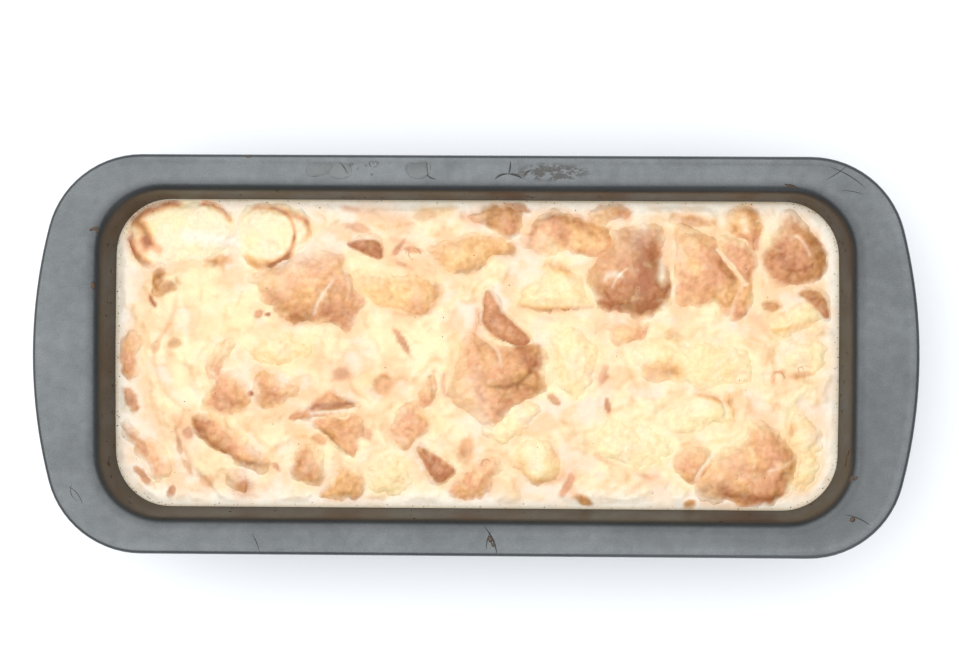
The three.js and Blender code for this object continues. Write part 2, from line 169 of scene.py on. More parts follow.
# How high the top of each piece stands over the custard, and its outline where it comes out of it.
OUTLINES = {
    "roll_slice_1": (1.2, [
        (-114.2, 44.5), (-109.0, 48.2), (-100.5, 50.2), (-90.3, 50.2), (-84.8, 48.0), (-81.2, 44.3),
        (-80.0, 39.7), (-82.1, 34.5), (-87.0, 31.8), (-94.4, 31.5), (-103.3, 29.8), (-110.8, 28.8),
        (-115.6, 32.9), (-116.6, 39.1),
    ]),
    "roll_slice_2": (1.4, [
        (-78.6, 43.8), (-75.9, 47.9), (-68.4, 49.2), (-61.5, 48.3), (-55.7, 44.5), (-54.8, 39.7),
        (-57.4, 34.9), (-62.2, 30.8), (-68.4, 27.8), (-74.4, 27.9), (-77.6, 31.2), (-79.3, 37.0),
    ]),
    "crust_01": (2.2, [
        (-75.2, 24.7), (-68.4, 28.0), (-59.5, 31.5), (-51.3, 33.8), (-44.8, 32.4), (-42.6, 28.0),
        (-41.1, 22.0), (-37.4, 17.2), (-40.6, 13.0), (-42.4, 8.0), (-47.0, 9.6), (-52.6, 10.6),
        (-60.2, 9.4), (-65.2, 12.4), (-69.7, 17.8),
    ]),
    "crust_02": (1.0, [
        (-42.6, 36.0), (-38.0, 36.9), (-32.6, 36.7), (-31.6, 32.0), (-35.2, 32.5), (-38.9, 34.2),
    ]),
    "crust_03": (1.5, [
        (-2.6, 45.6), (1.6, 47.6), (6.5, 49.2), (14.2, 46.8), (13.5, 41.8), (11.3, 39.2), (6.3, 41.0),
        (1.4, 43.6),
    ]),
    "crust_04": (1.8, [
        (14.7, 37.7), (18.1, 43.8), (22.9, 46.4), (29.7, 46.9), (36.6, 44.2), (42.5, 41.5),
        (46.0, 38.0), (43.5, 34.0), (37.0, 33.3), (30.0, 34.3), (22.0, 33.4), (16.1, 34.7),
    ]),
    "crust_05": (2.6, [
        (45.9, 40.4), (52.7, 42.2), (60.2, 40.8), (60.9, 33.6), (63.8, 27.2), (63.5, 21.0),
        (58.8, 14.4), (53.5, 13.4), (47.9, 14.1), (40.4, 16.3), (39.8, 20.6), (37.2, 25.0),
        (40.0, 31.0), (43.5, 36.0),
    ]),
    "crust_06": (0.8, [
        (37.4, 46.6), (41.1, 48.8), (46.5, 49.4), (50.8, 47.3), (50.0, 44.4), (44.5, 45.4),
        (40.4, 43.7),
    ]),
    "crust_07": (2.2, [
        (66.2, 40.6), (72.5, 41.3), (78.4, 38.6), (80.4, 33.6), (86.4, 25.4), (84.4, 18.5),
        (82.4, 14.2), (78.0, 17.6), (71.2, 17.0), (67.1, 16.3), (65.0, 20.6), (65.7, 28.1),
        (66.2, 33.6),
    ]),
    "crust_08": (1.4, [
        (79.0, 37.4), (84.8, 37.9), (90.5, 33.6), (90.4, 27.0), (89.8, 19.0), (88.4, 13.2),
        (84.6, 12.6), (84.6, 17.0), (88.0, 23.6), (84.2, 29.5),
    ]),
    "crust_09": (1.4, [
        (84.2, 47.9), (88.3, 49.6), (92.4, 47.0), (93.6, 41.0), (92.2, 35.6), (89.6, 34.0),
        (87.8, 38.0), (84.6, 38.6), (82.4, 41.4), (82.2, 45.2),
    ]),
    "crust_10": (2.2, [
        (102.6, 46.8), (108.1, 42.5), (113.4, 37.0), (115.0, 30.8), (112.6, 26.0), (105.4, 23.8),
        (98.5, 24.5), (94.9, 28.8), (94.6, 32.9), (98.3, 38.4), (100.4, 43.8),
    ]),
    "crust_11": (1.2, [
        (106.2, 20.6), (111.5, 21.5), (114.5, 17.9), (115.6, 12.9), (113.4, 13.6), (110.6, 17.4),
    ]),
    "crust_12": (1.0, [
        (41.5, 10.3), (49.0, 10.8), (57.0, 10.4), (56.1, 6.9), (52.7, 4.8), (46.5, 4.1), (43.6, 7.4),
    ]),
    "crust_13": (1.8, [
        (3.5, 20.6), (6.8, 15.8), (11.4, 10.8), (17.4, 5.2), (15.8, 3.2), (12.4, 3.4), (8.6, 4.9),
        (4.8, 7.6), (2.4, 11.2), (2.9, 15.0),
    ]),
    "crust_14": (2.6, [
        (-1.9, 7.2), (2.4, 3.7), (9.2, 1.4), (16.1, 3.6), (20.4, 2.8), (22.1, -1.3), (21.0, -6.1),
        (22.4, -11.4), (16.3, -14.5), (10.6, -18.6), (5.8, -23.4), (-1.7, -19.1), (-8.8, -13.4),
        (-7.2, -7.5), (-4.5, -0.6),
    ]),
    "crust_15": (2.4, [
        (91.7, -22.3), (98.5, -24.6), (103.0, -30.7), (104.9, -34.8), (102.1, -43.0), (98.5, -47.8),
        (88.9, -49.4), (82.1, -47.3), (75.3, -46.0), (72.7, -42.4), (77.3, -37.2), (80.7, -32.6),
        (84.8, -29.8), (90.0, -27.0),
    ]),
    "crust_16": (1.4, [
        (66.9, -34.1), (71.2, -31.9), (76.3, -31.8), (78.6, -33.8), (75.3, -38.5), (71.2, -41.7),
        (67.5, -39.6),
    ]),
    "crust_17": (0.7, [
        (-117.0, 4.2), (-113.5, 6.2), (-112.6, -0.6), (-113.2, -7.6), (-115.4, -9.2), (-117.6, -6.5),
    ]),
    "crust_18": (0.8, [
        (-116.4, -24.6), (-113.0, -26.8), (-108.8, -31.6), (-108.2, -34.6), (-111.5, -32.4),
    ]),
    "crust_19": (0.7, [
        (-109.8, -30.1), (-107.6, -29.0), (-104.4, -34.1), (-102.4, -39.6), (-104.6, -42.3),
        (-107.6, -39.0),
    ]),
    "crust_20": (1.7, [
        (-94.6, -21.6), (-89.6, -21.0), (-83.4, -21.8), (-79.0, -26.6), (-73.7, -32.8), (-66.5, -35.8),
        (-69.7, -38.1), (-75.9, -37.1), (-82.1, -34.3), (-88.9, -29.5), (-93.2, -25.2),
    ]),
    "crust_21": (1.5, [
        (-82.1, 4.4), (-80.5, 2.1), (-82.1, -2.7), (-84.6, -6.1), (-80.7, -8.6), (-76.4, -10.7),
        (-75.7, -15.7), (-78.0, -20.3), (-82.7, -20.3), (-89.1, -17.2), (-87.7, -11.6), (-89.8, -6.1),
        (-88.2, -2.0), (-85.5, 2.1),
    ]),
    "crust_22": (1.3, [
        (-71.1, -5.9), (-68.4, -7.3), (-65.0, -10.0), (-59.2, -11.8), (-63.6, -15.2), (-70.6, -17.9),
        (-72.3, -12.9),
    ]),
    "crust_23": (1.3, [
        (-48.4, -12.3), (-44.0, -14.6), (-39.6, -17.2), (-44.5, -19.0), (-51.0, -20.4), (-61.5, -21.4),
        (-54.5, -17.6),
    ]),
    "crust_24": (1.5, [
        (-53.0, -22.8), (-46.0, -21.6), (-39.6, -20.6), (-38.4, -25.0), (-40.4, -33.5), (-45.6, -30.0),
    ]),
    "crust_25": (1.6, [
        (-57.6, -32.1), (-54.0, -31.0), (-51.4, -34.8), (-50.4, -40.3), (-52.0, -43.2), (-57.4, -41.9),
        (-60.4, -39.6),
    ]),
    "crust_26": (1.3, [
        (-50.8, -47.3), (-48.1, -42.8), (-46.5, -37.0), (-42.8, -36.0), (-39.1, -39.6), (-37.4, -44.4),
        (-39.3, -48.0), (-45.5, -48.7),
    ]),
    "crust_27": (1.0, [
        (-13.8, -5.2), (-12.8, -11.6), (-14.7, -15.9), (-18.3, -16.9), (-18.7, -12.9), (-16.1, -8.8),
    ]),
    "crust_28": (1.2, [
        (-22.4, -16.8), (-18.1, -19.0), (-15.2, -22.5), (-18.1, -26.1), (-22.9, -30.9), (-27.2, -27.3),
        (-28.2, -24.2),
    ]),
    "crust_29": (1.6, [
        (-19.0, -30.9), (-14.7, -32.6), (-7.7, -37.4), (-8.0, -39.8), (-12.0, -41.9), (-14.0, -40.5),
        (-17.0, -35.5),
    ]),
    "crust_30": (0.6, [
        (-82.1, -40.1), (-78.6, -40.4), (-74.3, -43.7), (-75.0, -47.1), (-78.4, -46.6), (-80.4, -43.4),
    ]),
    "crumb_01": (1.4, [
        (-41.4, 26.9), (-31.8, 27.0), (-21.6, 27.0), (-14.7, 25.6), (-11.8, 21.3), (-13.2, 15.8),
        (-16.8, 12.9), (-25.0, 12.9), (-31.5, 14.9), (-38.5, 18.5),
    ]),
    "crumb_02": (1.4, [
        (-16.3, 34.9), (-7.2, 37.9), (2.4, 39.3), (11.3, 36.5), (12.8, 33.6), (6.5, 32.0), (1.0, 28.6),
        (-4.5, 26.5), (-9.9, 26.5), (-13.6, 30.8),
    ]),
    "crumb_03": (1.7, [
        (13.8, 15.8), (14.5, 22.0), (20.0, 25.6), (22.7, 31.0), (29.1, 31.0), (33.4, 26.7),
        (36.2, 22.0), (38.4, 16.5), (29.7, 14.2), (22.9, 13.5),
    ]),
    "crumb_04": (1.2, [
        (96.3, 9.4), (100.6, 13.3), (108.1, 17.4), (112.4, 15.1), (112.7, 12.6), (105.4, 7.4),
        (100.4, 6.0),
    ]),
    "crumb_05": (1.2, [
        (101.1, 2.1), (106.0, 5.1), (112.2, 4.4), (115.4, 0.1), (114.3, -4.2), (108.8, -4.9),
        (102.4, -3.4),
    ]),
    "crumb_06": (1.3, [
        (23.6, 4.0), (28.0, 9.0), (35.0, 10.0), (40.0, 5.0), (40.5, -4.0), (38.0, -12.0), (32.0, -15.5),
        (26.0, -12.0), (24.4, -4.0),
    ]),
    "crumb_07": (1.6, [
        (51.3, 0.7), (54.7, 4.9), (64.3, 6.4), (78.0, 3.7), (88.3, 0.7), (91.5, -4.0), (89.5, -9.0),
        (81.4, -10.9), (67.7, -10.2), (56.1, -9.5), (51.8, -4.7),
    ]),
    "crumb_08": (1.3, [
        (62.7, -18.4), (67.7, -14.1), (75.3, -12.7), (83.7, -12.7), (85.0, -18.4), (83.5, -22.7),
        (75.3, -25.4), (67.0, -26.1), (62.7, -22.5),
    ]),
    "crumb_09": (0.9, [
        (104.5, -22.0), (108.0, -20.0), (112.0, -25.0), (113.5, -33.0), (112.0, -41.5), (108.0, -44.0),
        (105.0, -41.0), (106.6, -35.0), (105.0, -29.0),
    ]),
    "crumb_10": (1.0, [
        (-7.0, -42.0), (-3.1, -38.2), (1.7, -34.6), (7.9, -34.6), (8.7, -38.2), (5.1, -42.5),
        (1.7, -47.3), (-4.5, -48.0), (-8.4, -45.4),
    ]),
    "crumb_11": (1.4, [
        (12.4, -35.5), (15.4, -31.2), (20.2, -27.8), (25.2, -27.1), (26.5, -32.8), (27.9, -39.6),
        (25.0, -42.5), (18.8, -41.9), (15.9, -38.2),
    ]),
    "crumb_12": (1.3, [
        (3.0, -25.2), (6.9, -24.2), (11.7, -19.4), (17.4, -16.4), (20.4, -17.9), (16.3, -23.2),
        (12.6, -26.8), (7.9, -28.2),
    ]),
    "crumb_13": (1.2, [
        (-37.0, -36.9), (-33.2, -34.1), (-27.0, -33.3), (-22.0, -36.9), (-20.7, -41.7), (-25.7, -46.0),
        (-33.2, -47.3), (-36.2, -43.0),
    ]),
    "crumb_14": (1.0, [
        (-76.1, 2.1), (-71.1, 6.4), (-62.9, 7.1), (-55.2, 4.9), (-54.5, -0.6), (-61.5, -4.2),
        (-69.7, -4.2), (-75.4, -2.0),
    ]),
    "crumb_15": (1.1, [
        (38.8, -26.0), (46.0, -21.3), (55.0, -21.8), (62.0, -26.6), (64.7, -31.4), (62.0, -37.2),
        (54.0, -38.2), (45.0, -36.7), (39.8, -32.0),
    ]),
}

# Strokes on the bread: x and y of both ends, how far the middle bows to the left, width, kind, strength.
BREAD_STROKES = [
    # the crust rings of the roll slices
    (-114.0, 43.5, -99.5, 49.6, 1.4, 1.5, "brown", 0.85),
    (-110.8, 42.0, -108.8, 35.5, 0.6, 1.9, "brown", 0.85),
    (-115.0, 37.5, -109.5, 29.0, -1.2, 1.7, "brown", 0.95),
    (-110.5, 37.0, -105.0, 34.0, 0.6, 1.5, "brown", 0.4),
    (-90.0, 49.5, -81.5, 44.5, 1.3, 1.1, "brown", 0.7),
    (-67.0, 48.0, -60.0, 38.0, 2.5, 0.6, "brown", 0.5),
    (-60.0, 38.0, -67.0, 29.0, 1.5, 0.8, "brown", 0.6),
    (-73.0, 48.4, -56.0, 43.5, 1.2, 1.2, "brown", 0.45),
    (-56.0, 43.5, -56.5, 37.0, 0.8, 0.9, "brown", 0.35),
    (-63.5, 30.5, -74.5, 30.0, 1.8, 1.9, "ochre", 0.8),
    (-61.5, 31.6, -68.5, 28.8, 0.8, 1.4, "brown", 0.45),
    # a painted highlight: a milk-white patch across the first roll slice, for the glint on its wet top
    (-95.5, 38.8, -80.5, 36.8, 0.0, 3.2, "white", 1.0),
    # folds and darker patches of the large crusts
    (-66.5, 16.5, -56.0, 11.0, -1.2, 3.0, "brown", 0.26),
    (-47.5, 21.0, -48.5, 11.5, 0.0, 2.2, "brown", 0.2),
    (-53.5, 13.0, -47.5, 23.5, 0.8, 0.7, "milk", 0.6),
    (-44.0, 28.0, -42.5, 18.0, 0.8, 0.6, "milk", 0.35),
    (10.5, 46.0, 14.0, 43.5, 0.0, 1.6, "gold", 0.6),
    (17.0, 35.0, 24.0, 45.5, 2.0, 1.2, "brown", 0.25),
    (24.0, 45.5, 38.0, 40.0, 1.2, 1.3, "brown", 0.2),
    (33.0, 37.0, 40.0, 36.0, 0.0, 2.2, "gold", 0.7),
    (21.5, 38.0, 25.5, 36.0, 0.0, 1.8, "milk", 0.4),
    (55.5, 35.0, 55.0, 23.0, 1.0, 3.2, "brown", 0.52),
    (42.0, 16.8, 58.0, 17.2, -1.2, 1.9, "brown", 0.3),
    (43.0, 26.0, 47.0, 26.5, 0.5, 1.4, "milk", 0.75),
    (61.5, 31.0, 61.0, 26.0, 0.0, 1.9, "milk", 0.8),
    (44.5, 22.5, 49.5, 28.5, 0.6, 0.5, "milk", 0.5),
    (79.0, 35.0, 88.5, 23.5, 0.3, 0.7, "milk", 0.95),
    (80.0, 31.0, 85.0, 24.5, -0.3, 1.5, "brown", 0.25),
    (65.0, 38.0, 65.0, 19.0, -0.6, 0.6, "milk", 0.45),
    (68.0, 39.5, 80.0, 38.5, 0.0, 1.0, "brown", 0.15),
    (84.0, 42.5, 84.6, 40.8, 0.0, 0.8, "amber", 1.0),
    (85.0, 47.4, 91.0, 47.4, 0.6, 1.1, "ochre", 0.35),
    (87.6, 44.4, 88.2, 41.5, 0.0, 1.3, "white", 0.55),
    (91.8, 44.0, 91.0, 36.0, 0.0, 1.2, "brown", 0.15),
    (99.5, 36.0, 103.5, 30.0, -1.5, 1.2, "ochre", 0.25),
    (104.5, 39.5, 109.0, 33.5, 0.5, 0.6, "milk", 0.5),
    (100.0, 29.0, 110.5, 30.5, -1.6, 0.7, "brown", 0.25),
    (45.0, 12.0, 53.0, 11.6, 0.4, 0.7, "ochre", 0.3),
    (2.0, 3.5, 18.0, -7.0, 5.5, 0.8, "brown", 0.15),
    (3.5, -10.0, 19.5, -3.0, -3.5, 0.8, "ochre", 0.4),
    (10.0, -2.5, 18.5, -2.0, 0.0, 4.5, "brown", 0.04),
    (14.5, -10.5, 20.0, -9.5, 0.0, 3.0, "brown", 0.12),
    (0.0, -11.0, 9.5, -20.0, -1.0, 1.0, "ochre", 0.35),
    (5.5, 3.0, 8.0, -2.0, 0.5, 0.7, "milk", 0.6),
    (98.0, -21.5, 105.0, -33.0, 0.8, 1.0, "ochre", 0.2),
    (82.0, -45.5, 100.0, -46.5, -0.8, 1.5, "brown", 0.25),
    (96.0, -37.5, 104.5, -33.5, -0.6, 0.6, "milk", 0.4),
    (90.0, -30.0, 91.0, -37.0, 0.8, 0.6, "milk", 0.25),
    (72.5, -40.5, 79.5, -31.0, 0.5, 0.8, "milk", 0.75),
    (74.0, -44.5, 82.0, -43.0, 1.0, 2.0, "brown", 0.35),
    (-94.0, -19.5, -83.0, -33.5, -1.8, 1.3, "brown", 0.25),
    (-83.0, -34.0, -69.0, -36.5, -0.6, 0.9, "brown", 0.3),
    (-90.0, -18.5, -82.0, -24.5, 0.6, 2.0, "gold", 0.3),
    (-86.0, -14.5, -78.0, -16.0, -1.0, 1.5, "brown", 0.2),
    (-87.5, -6.0, -86.5, -9.5, 0.0, 1.2, "milk", 0.5),
    (-56.0, -17.5, -38.5, -15.5, -0.6, 0.9, "brown", 0.45),
    (-54.5, -19.6, -40.0, -18.0, -0.4, 0.7, "milk", 0.8),
    (-51.5, -25.0, -41.5, -34.5, 0.4, 0.6, "brown", 0.35),
    (-16.5, -6.0, -14.5, -14.0, 0.8, 0.6, "brown", 0.35),
    (-13.0, -7.0, -12.5, -12.5, 0.6, 0.8, "milk", 0.6),
    (-27.0, -27.0, -23.0, -29.0, 0.0, 1.2, "milk", 0.4),
    # crumb: golden edges and toasted spots
    (-28.0, 12.4, -15.5, 14.0, -0.8, 1.4, "ochre", 0.42),
    (-13.4, 23.0, -14.2, 15.5, 0.6, 1.2, "ochre", 0.4),
    (-6.0, 26.4, 11.5, 33.2, -0.8, 1.4, "ochre", 0.42),
    (-10.0, 29.0, 8.0, 36.0, 0.6, 2.2, "gold", 0.4),
    (22.5, 30.0, 29.5, 28.5, 0.4, 1.9, "ochre", 0.6),
    (13.5, 15.6, 38.0, 15.6, -1.0, 1.0, "ochre", 0.85),
    (57.5, -5.8, 64.5, -5.2, 0.3, 3.1, "ochre", 0.6),
    (72.5, -12.5, 83.5, -15.5, 0.5, 1.0, "brown", 0.5),
    (83.0, -13.0, 85.5, -19.5, 0.5, 1.2, "brown", 0.35),
    (81.0, -14.0, 82.5, -19.5, 0.3, 0.8, "milk", 0.6),
    (78.0, -28.0, 80.0, -26.9, 0.0, 0.4, "brown", 0.9),
    (66.0, -26.0, 87.0, -20.0, -1.8, 1.3, "grey", 0.45),
    (93.0, 16.5, 100.5, 14.5, 0.4, 1.2, "ochre", 0.45),
    (98.0, 8.5, 112.0, 11.5, -0.6, 0.9, "ochre", 0.25),
    (17.5, -41.6, 27.5, -41.0, -1.2, 1.4, "ochre", 0.5),
    (13.8, -33.5, 15.6, -39.5, 0.0, 1.4, "ochre", 0.35),
    (24.6, -27.5, 26.6, -33.0, 0.3, 1.2, "brown", 0.3),
    (19.5, -31.5, 20.5, -38.0, 0.0, 2.4, "white", 0.4),
    (-8.0, -34.0, -2.5, -31.0, 0.4, 1.4, "ochre", 0.3),
    (-1.0, -37.0, 4.0, -36.0, 1.6, 0.4, "brown", 0.3),
]

# Bread sunk in the custard, seen through it: x and y of both ends, how far the middle bows to the left,
# width, how brown, how golden and how clearly it shows.
VEILED_STROKES = [
    # between the left wall and the big golden crust
    (-97.5, -1.0, -94.5, -15.0, -2.0, 3.0, 0.0, 1.0, 0.5),
    (-106.5, 1.0, -95.5, -19.0, -3.5, 0.8, 0.5, 1.2, 0.3),
    (-99.2, 17.2, -104.6, 4.9, 1.0, 1.0, 0.45, 0.3, 0.45),
    (-96.0, 31.0, -90.0, 28.5, 0.0, 3.0, 0.3, 0.5, 0.4),
    (-93.0, 21.0, -78.0, 12.0, 0.0, 6.0, 0.05, 1.0, 0.5),
    (-111.5, 24.0, -108.0, 10.0, 0.0, 3.0, 0.22, 0.1, 0.3),
    (-88.0, 8.0, -79.0, 10.0, 0.0, 3.5, 0.08, 1.0, 0.5),
    (-74.0, 14.5, -70.0, 16.0, 0.0, 2.0, 0.25, 0.3, 0.4),
    (-56.5, -2.0, -43.5, -7.5, 0.5, 3.5, 0.28, 0.3, 0.4),
    (-70.5, -16.5, -60.0, -19.0, 0.6, 2.6, 0.33, 0.3, 0.55),
    (-58.0, -14.0, -51.0, -13.0, 0.0, 2.5, 0.3, 0.3, 0.4),
    (-59.0, -25.5, -52.5, -28.5, 0.0, 2.6, 0.3, 0.7, 0.45),
    (-92.0, -33.0, -84.0, -42.0, 0.5, 3.2, 0.24, 0.3, 0.4),
    (-99.5, -21.0, -95.5, -28.5, 0.5, 2.0, 0.45, 0.4, 0.45),
    (-98.8, -29.0, -94.5, -38.0, 0.8, 0.8, 0.6, 0.9, 0.35),
    (-110.0, -4.0, -108.0, -20.0, 0.0, 3.5, 0.2, 0.2, 0.35),
    (-64.0, -40.0, -60.0, -46.0, 0.0, 3.0, 0.15, 0.4, 0.3),
    # along the north wall
    (-37.0, 46.5, -23.0, 43.5, 0.8, 2.6, 0.42, 0.2, 0.35),
    (-43.5, 48.0, -39.5, 47.5, 0.0, 1.2, 0.6, 0.2, 0.5),
    (-17.5, 46.5, -9.0, 47.0, 0.0, 2.2, 0.2, 0.9, 0.45),
    (-4.5, 45.5, 0.0, 43.5, 0.0, 1.8, 0.42, 0.2, 0.5),
    (-30.0, 33.5, -14.0, 29.5, -1.0, 3.4, 0.3, 0.3, 0.45),
    (-28.0, 38.0, -21.0, 36.0, 0.0, 1.2, 0.5, 0.4, 0.45),
    (-45.0, 21.0, -38.0, 11.5, 0.0, 3.0, 0.3, 0.3, 0.45),
    (64.5, 46.0, 78.0, 43.5, 0.4, 1.8, 0.4, 0.6, 0.5),
    # the middle
    (-44.0, 7.5, -36.0, 9.0, 0.0, 2.2, 0.3, 0.3, 0.4),
    (-33.0, 6.0, -16.0, 4.0, 0.0, 5.0, 0.03, 0.9, 0.5),
    (0.4, 14.5, -1.0, 5.5, 0.4, 0.9, 0.6, 0.3, 0.55),
    (-6.0, 4.0, -9.0, -10.0, 0.5, 2.6, 0.28, 0.6, 0.4),
    (-36.5, -6.5, -27.0, -13.0, 0.0, 3.0, 0.36, 0.8, 0.5),
    (-44.0, -4.0, -39.5, -13.0, 0.0, 2.6, 0.3, 0.4, 0.4),
    (-10.5, -6.8, -9.8, -13.6, -0.8, 0.8, 0.7, 0.2, 0.5),
    (-17.5, -19.0, -6.5, -31.0, -0.6, 1.2, 0.36, 0.8, 0.35),
    (-12.0, -22.0, -4.0, -27.0, 0.0, 3.6, 0.06, 1.0, 0.5),
    (13.0, -24.5, 20.5, -27.0, 0.0, 1.0, 0.4, 1.2, 0.35),
    (9.5, -33.5, 14.0, -37.5, 0.0, 1.8, 0.42, 0.6, 0.45),
    (18.0, 14.5, 26.0, 11.5, -0.4, 1.2, 0.42, 0.1, 0.4),
    (22.0, 9.0, 38.0, 10.5, 0.0, 2.6, 0.08, 0.9, 0.4),
    (31.0, -20.0, 36.5, -34.0, 0.0, 3.4, 0.22, 0.3, 0.35),
    (27.0, -36.0, 32.5, -46.0, 0.0, 1.8, 0.4, 0.1, 0.5),
    (-37.5, -20.0, -33.0, -31.5, 0.4, 2.2, 0.3, 0.2, 0.4),
    (12.0, -46.0, 22.0, -47.5, 0.0, 1.6, 0.24, 0.8, 0.35),
    # the right
    (38.0, 41.0, 43.0, 31.0, 0.0, 3.6, 0.4, 0.1, 0.6),
    (40.0, 14.0, 43.0, -10.0, -1.5, 3.2, 0.3, 0.1, 0.4),
    (62.8, 40.0, 64.5, 29.0, 0.0, 1.6, 0.3, 0.1, 0.45),
    (92.5, 26.0, 97.5, 12.0, 0.5, 4.2, 0.26, 0.5, 0.45),
    (90.5, 13.0, 95.0, 9.0, 0.0, 1.3, 0.4, 0.1, 0.4),
    (98.0, 6.8, 105.4, 4.2, 0.6, 1.0, 0.4, 1.0, 0.35),
    (113.5, 23.0, 115.4, 15.0, 0.0, 1.8, 0.3, 0.3, 0.4),
    (105.0, -6.5, 114.0, -8.0, -1.0, 1.8, 0.36, 1.2, 0.3),
    (108.0, 12.5, 113.5, 8.0, 0.4, 1.0, 0.45, 1.2, 0.35),
    (92.5, -9.0, 104.0, -8.5, 0.0, 3.0, 0.2, 0.2, 0.35),
    (91.5, -19.0, 97.0, -22.0, 0.0, 2.6, 0.34, 0.1, 0.45),
    (103.5, -24.0, 106.5, -42.0, -2.0, 3.0, 0.3, 0.7, 0.55),
    (51.5, -44.5, 59.5, -40.0, 0.6, 1.2, 0.4, 0.1, 0.4),
    (38.0, -29.5, 50.0, -36.5, -0.8, 1.3, 0.3, 0.3, 0.4),
    (75.0, -48.5, 86.0, -50.0, 0.0, 1.4, 0.3, 0.1, 0.4),
    (87.0, -11.5, 84.0, -23.5, -2.5, 1.3, 0.4, 1.0, 0.4),
    (60.0, 10.0, 66.0, 6.0, 0.0, 2.0, 0.25, 0.8, 0.4),
    (70.0, 9.0, 86.0, 5.0, 0.8, 2.4, 0.08, 0.9, 0.4),
]

# Bits of crust that drift in the surface: x, y, length, width, turn, height of the top over the custard,
# how brown and how golden.
DRIFTING_BITS = [
    (-105.2, 24.4, 8.5, 3.6, 80, 0.5, 0.6, 1.0),
    (-102.0, 21.6, 8.8, 3.6, 32, 0.6, 0.52, 1.1),
    (-106.6, 16.6, 5.5, 1.1, -58, 0.2, 0.7, 0.1),
    (-85.9, 30.8, 8.2, 4.8, 6, 0.4, 0.44, 0.9),
    (-99.7, 3.2, 5.0, 3.0, 15, -0.5, 0.5, 0.9),
    (-106.0, 2.0, 4.5, 3.0, 60, -0.8, 0.4, 0.5),
    (-71.8, 13.1, 2.8, 2.2, 20, 0.0, 0.5, 0.3),
    (-69.0, 12.8, 1.2, 0.9, 0, 0.2, 0.9, 0.1),
    (-114.4, -15.6, 8.6, 4.0, -62, 0.3, 0.58, 0.3),
    (-110.3, -40.6, 9.0, 2.6, -46, 0.3, 0.56, 0.4),
    (-100.6, -45.4, 4.4, 2.4, 70, 0.2, 0.55, 0.2),
    (-95.2, -26.5, 4.6, 3.4, -30, -0.5, 0.6, 0.1),
    (-98.4, -29.5, 9.0, 1.6, -78, -0.7, 0.6, 0.9),
    (-95.5, -37.5, 8.0, 1.6, -58, -0.8, 0.5, 0.9),
    (-89.0, -42.0, 7.0, 3.6, -30, -1.0, 0.45, 0.3),
    (-74.4, -13.4, 2.2, 1.7, -20, 0.5, 0.75, 0.2),
    (-52.0, -28.4, 5.2, 3.2, -20, 0.2, 0.4, 0.8),
    (-66.0, -37.4, 2.6, 1.8, -50, 0.2, 0.55, 0.2),
    (-44.4, -6.6, 7.6, 5.0, 12, -0.4, 0.48, 0.2),
    (-24.3, 3.8, 11.0, 2.2, -58, 0.1, 0.5, 0.2),
    (-30.8, -10.0, 8.0, 6.6, 30, -0.1, 0.4, 0.6),
    (-36.8, -26.0, 6.5, 3.4, -40, -0.6, 0.5, 0.1),
    (-25.8, 35.0, 7.5, 1.7, 55, 0.1, 0.46, 0.1),
    (-21.5, 34.5, 6.5, 1.5, -10, 0.0, 0.42, 0.2),
    (-24.5, 29.5, 7.0, 1.3, -25, -0.2, 0.42, 0.1),
    (12.9, 48.6, 9.0, 3.0, -14, 0.5, 0.68, 0.6),
    (-39.5, 41.5, 8.5, 2.8, 170, -0.7, 0.5, 0.2),
    (71.0, 44.0, 12.0, 3.6, -4, -0.5, 0.45, 0.5),
    (97.0, 16.5, 6.8, 2.4, -10, 0.2, 0.5, 0.6),
    (25.6, -14.6, 5.0, 2.0, -42, 0.3, 0.58, 0.5),
    (-3.4, -31.6, 8.6, 4.6, 80, -0.1, 0.4, 0.6),
    (30.6, -42.4, 9.4, 2.6, 62, -0.1, 0.46, 0.0),
    (36.0, -48.0, 6.6, 2.8, -30, 0.5, 0.56, 0.9),
    (43.4, -16.6, 5.4, 1.6, -82, 0.2, 0.62, 0.3),
    (42.0, -6.8, 6.6, 3.0, 70, -0.6, 0.5, 0.0),
    (65.0, 6.4, 7.6, 3.0, -14, -0.2, 0.42, 0.9),
    (104.4, -24.2, 5.4, 2.4, 80, 0.1, 0.36, 0.9),
    (70.4, -49.2, 3.8, 2.6, 30, 0.4, 0.55, 0.9),
    (99.4, -5.2, 4.6, 1.0, 5, 0.0, 0.2, 0.1),
    (97.6, -7.6, 3.2, 0.9, 75, 0.0, 0.2, 0.1),
    (107.2, -6.0, 9.0, 1.8, 12, -0.4, 0.42, 0.8),
    (54.0, -38.5, 8.0, 1.4, -28, -0.4, 0.42, 0.1),
    (43.0, -34.5, 9.0, 2.0, -24, -0.4, 0.42, 0.3),
    (-16.8, 46.0, 11.0, 3.6, 8, -1.1, 0.42, 0.9),
    (-32.0, -47.0, 8.0, 2.4, 4, -0.9, 0.5, 0.9),
    (-98.0, 46.6, 5.6, 3.2, 25, 0.4, 0.3, 0.2),
]

STROKE_EFFECTS = {  # how a kind of stroke shifts browning, goldenness, milk and height
    "brown": (1.0, -0.2, 0.0, -0.25),
    "ochre": (0.8, 0.8, 0.0, -0.15),
    "gold": (-0.25, 0.9, 0.0, 0.15),
    "amber": (0.3, 1.2, 0.0, -0.8),
    # white: a milk-white film; on the first roll slice it is a painted highlight
    "white": (-0.5, -0.3, 1.0, 0.1),
    "milk": (-0.1, 0.0, 1.0, -0.7),
    "grey": (0.15, 0.6, 0.3, -0.3),
}

# ---- Sizes and colours that a user may change ----------------------------------------------------------


def length(name, description, default):
    """A length, given in mm."""
    return FloatProperty(
        name=name, description=description, default=default * MM, unit="LENGTH", precision=5
    )


def watts(name, description, default):
    """A light's power, in watts."""
    return FloatProperty(name=name, description=description, default=default, unit="POWER")


def number(name, description, default):
    """A plain number."""
    return FloatProperty(name=name, description=description, default=default)


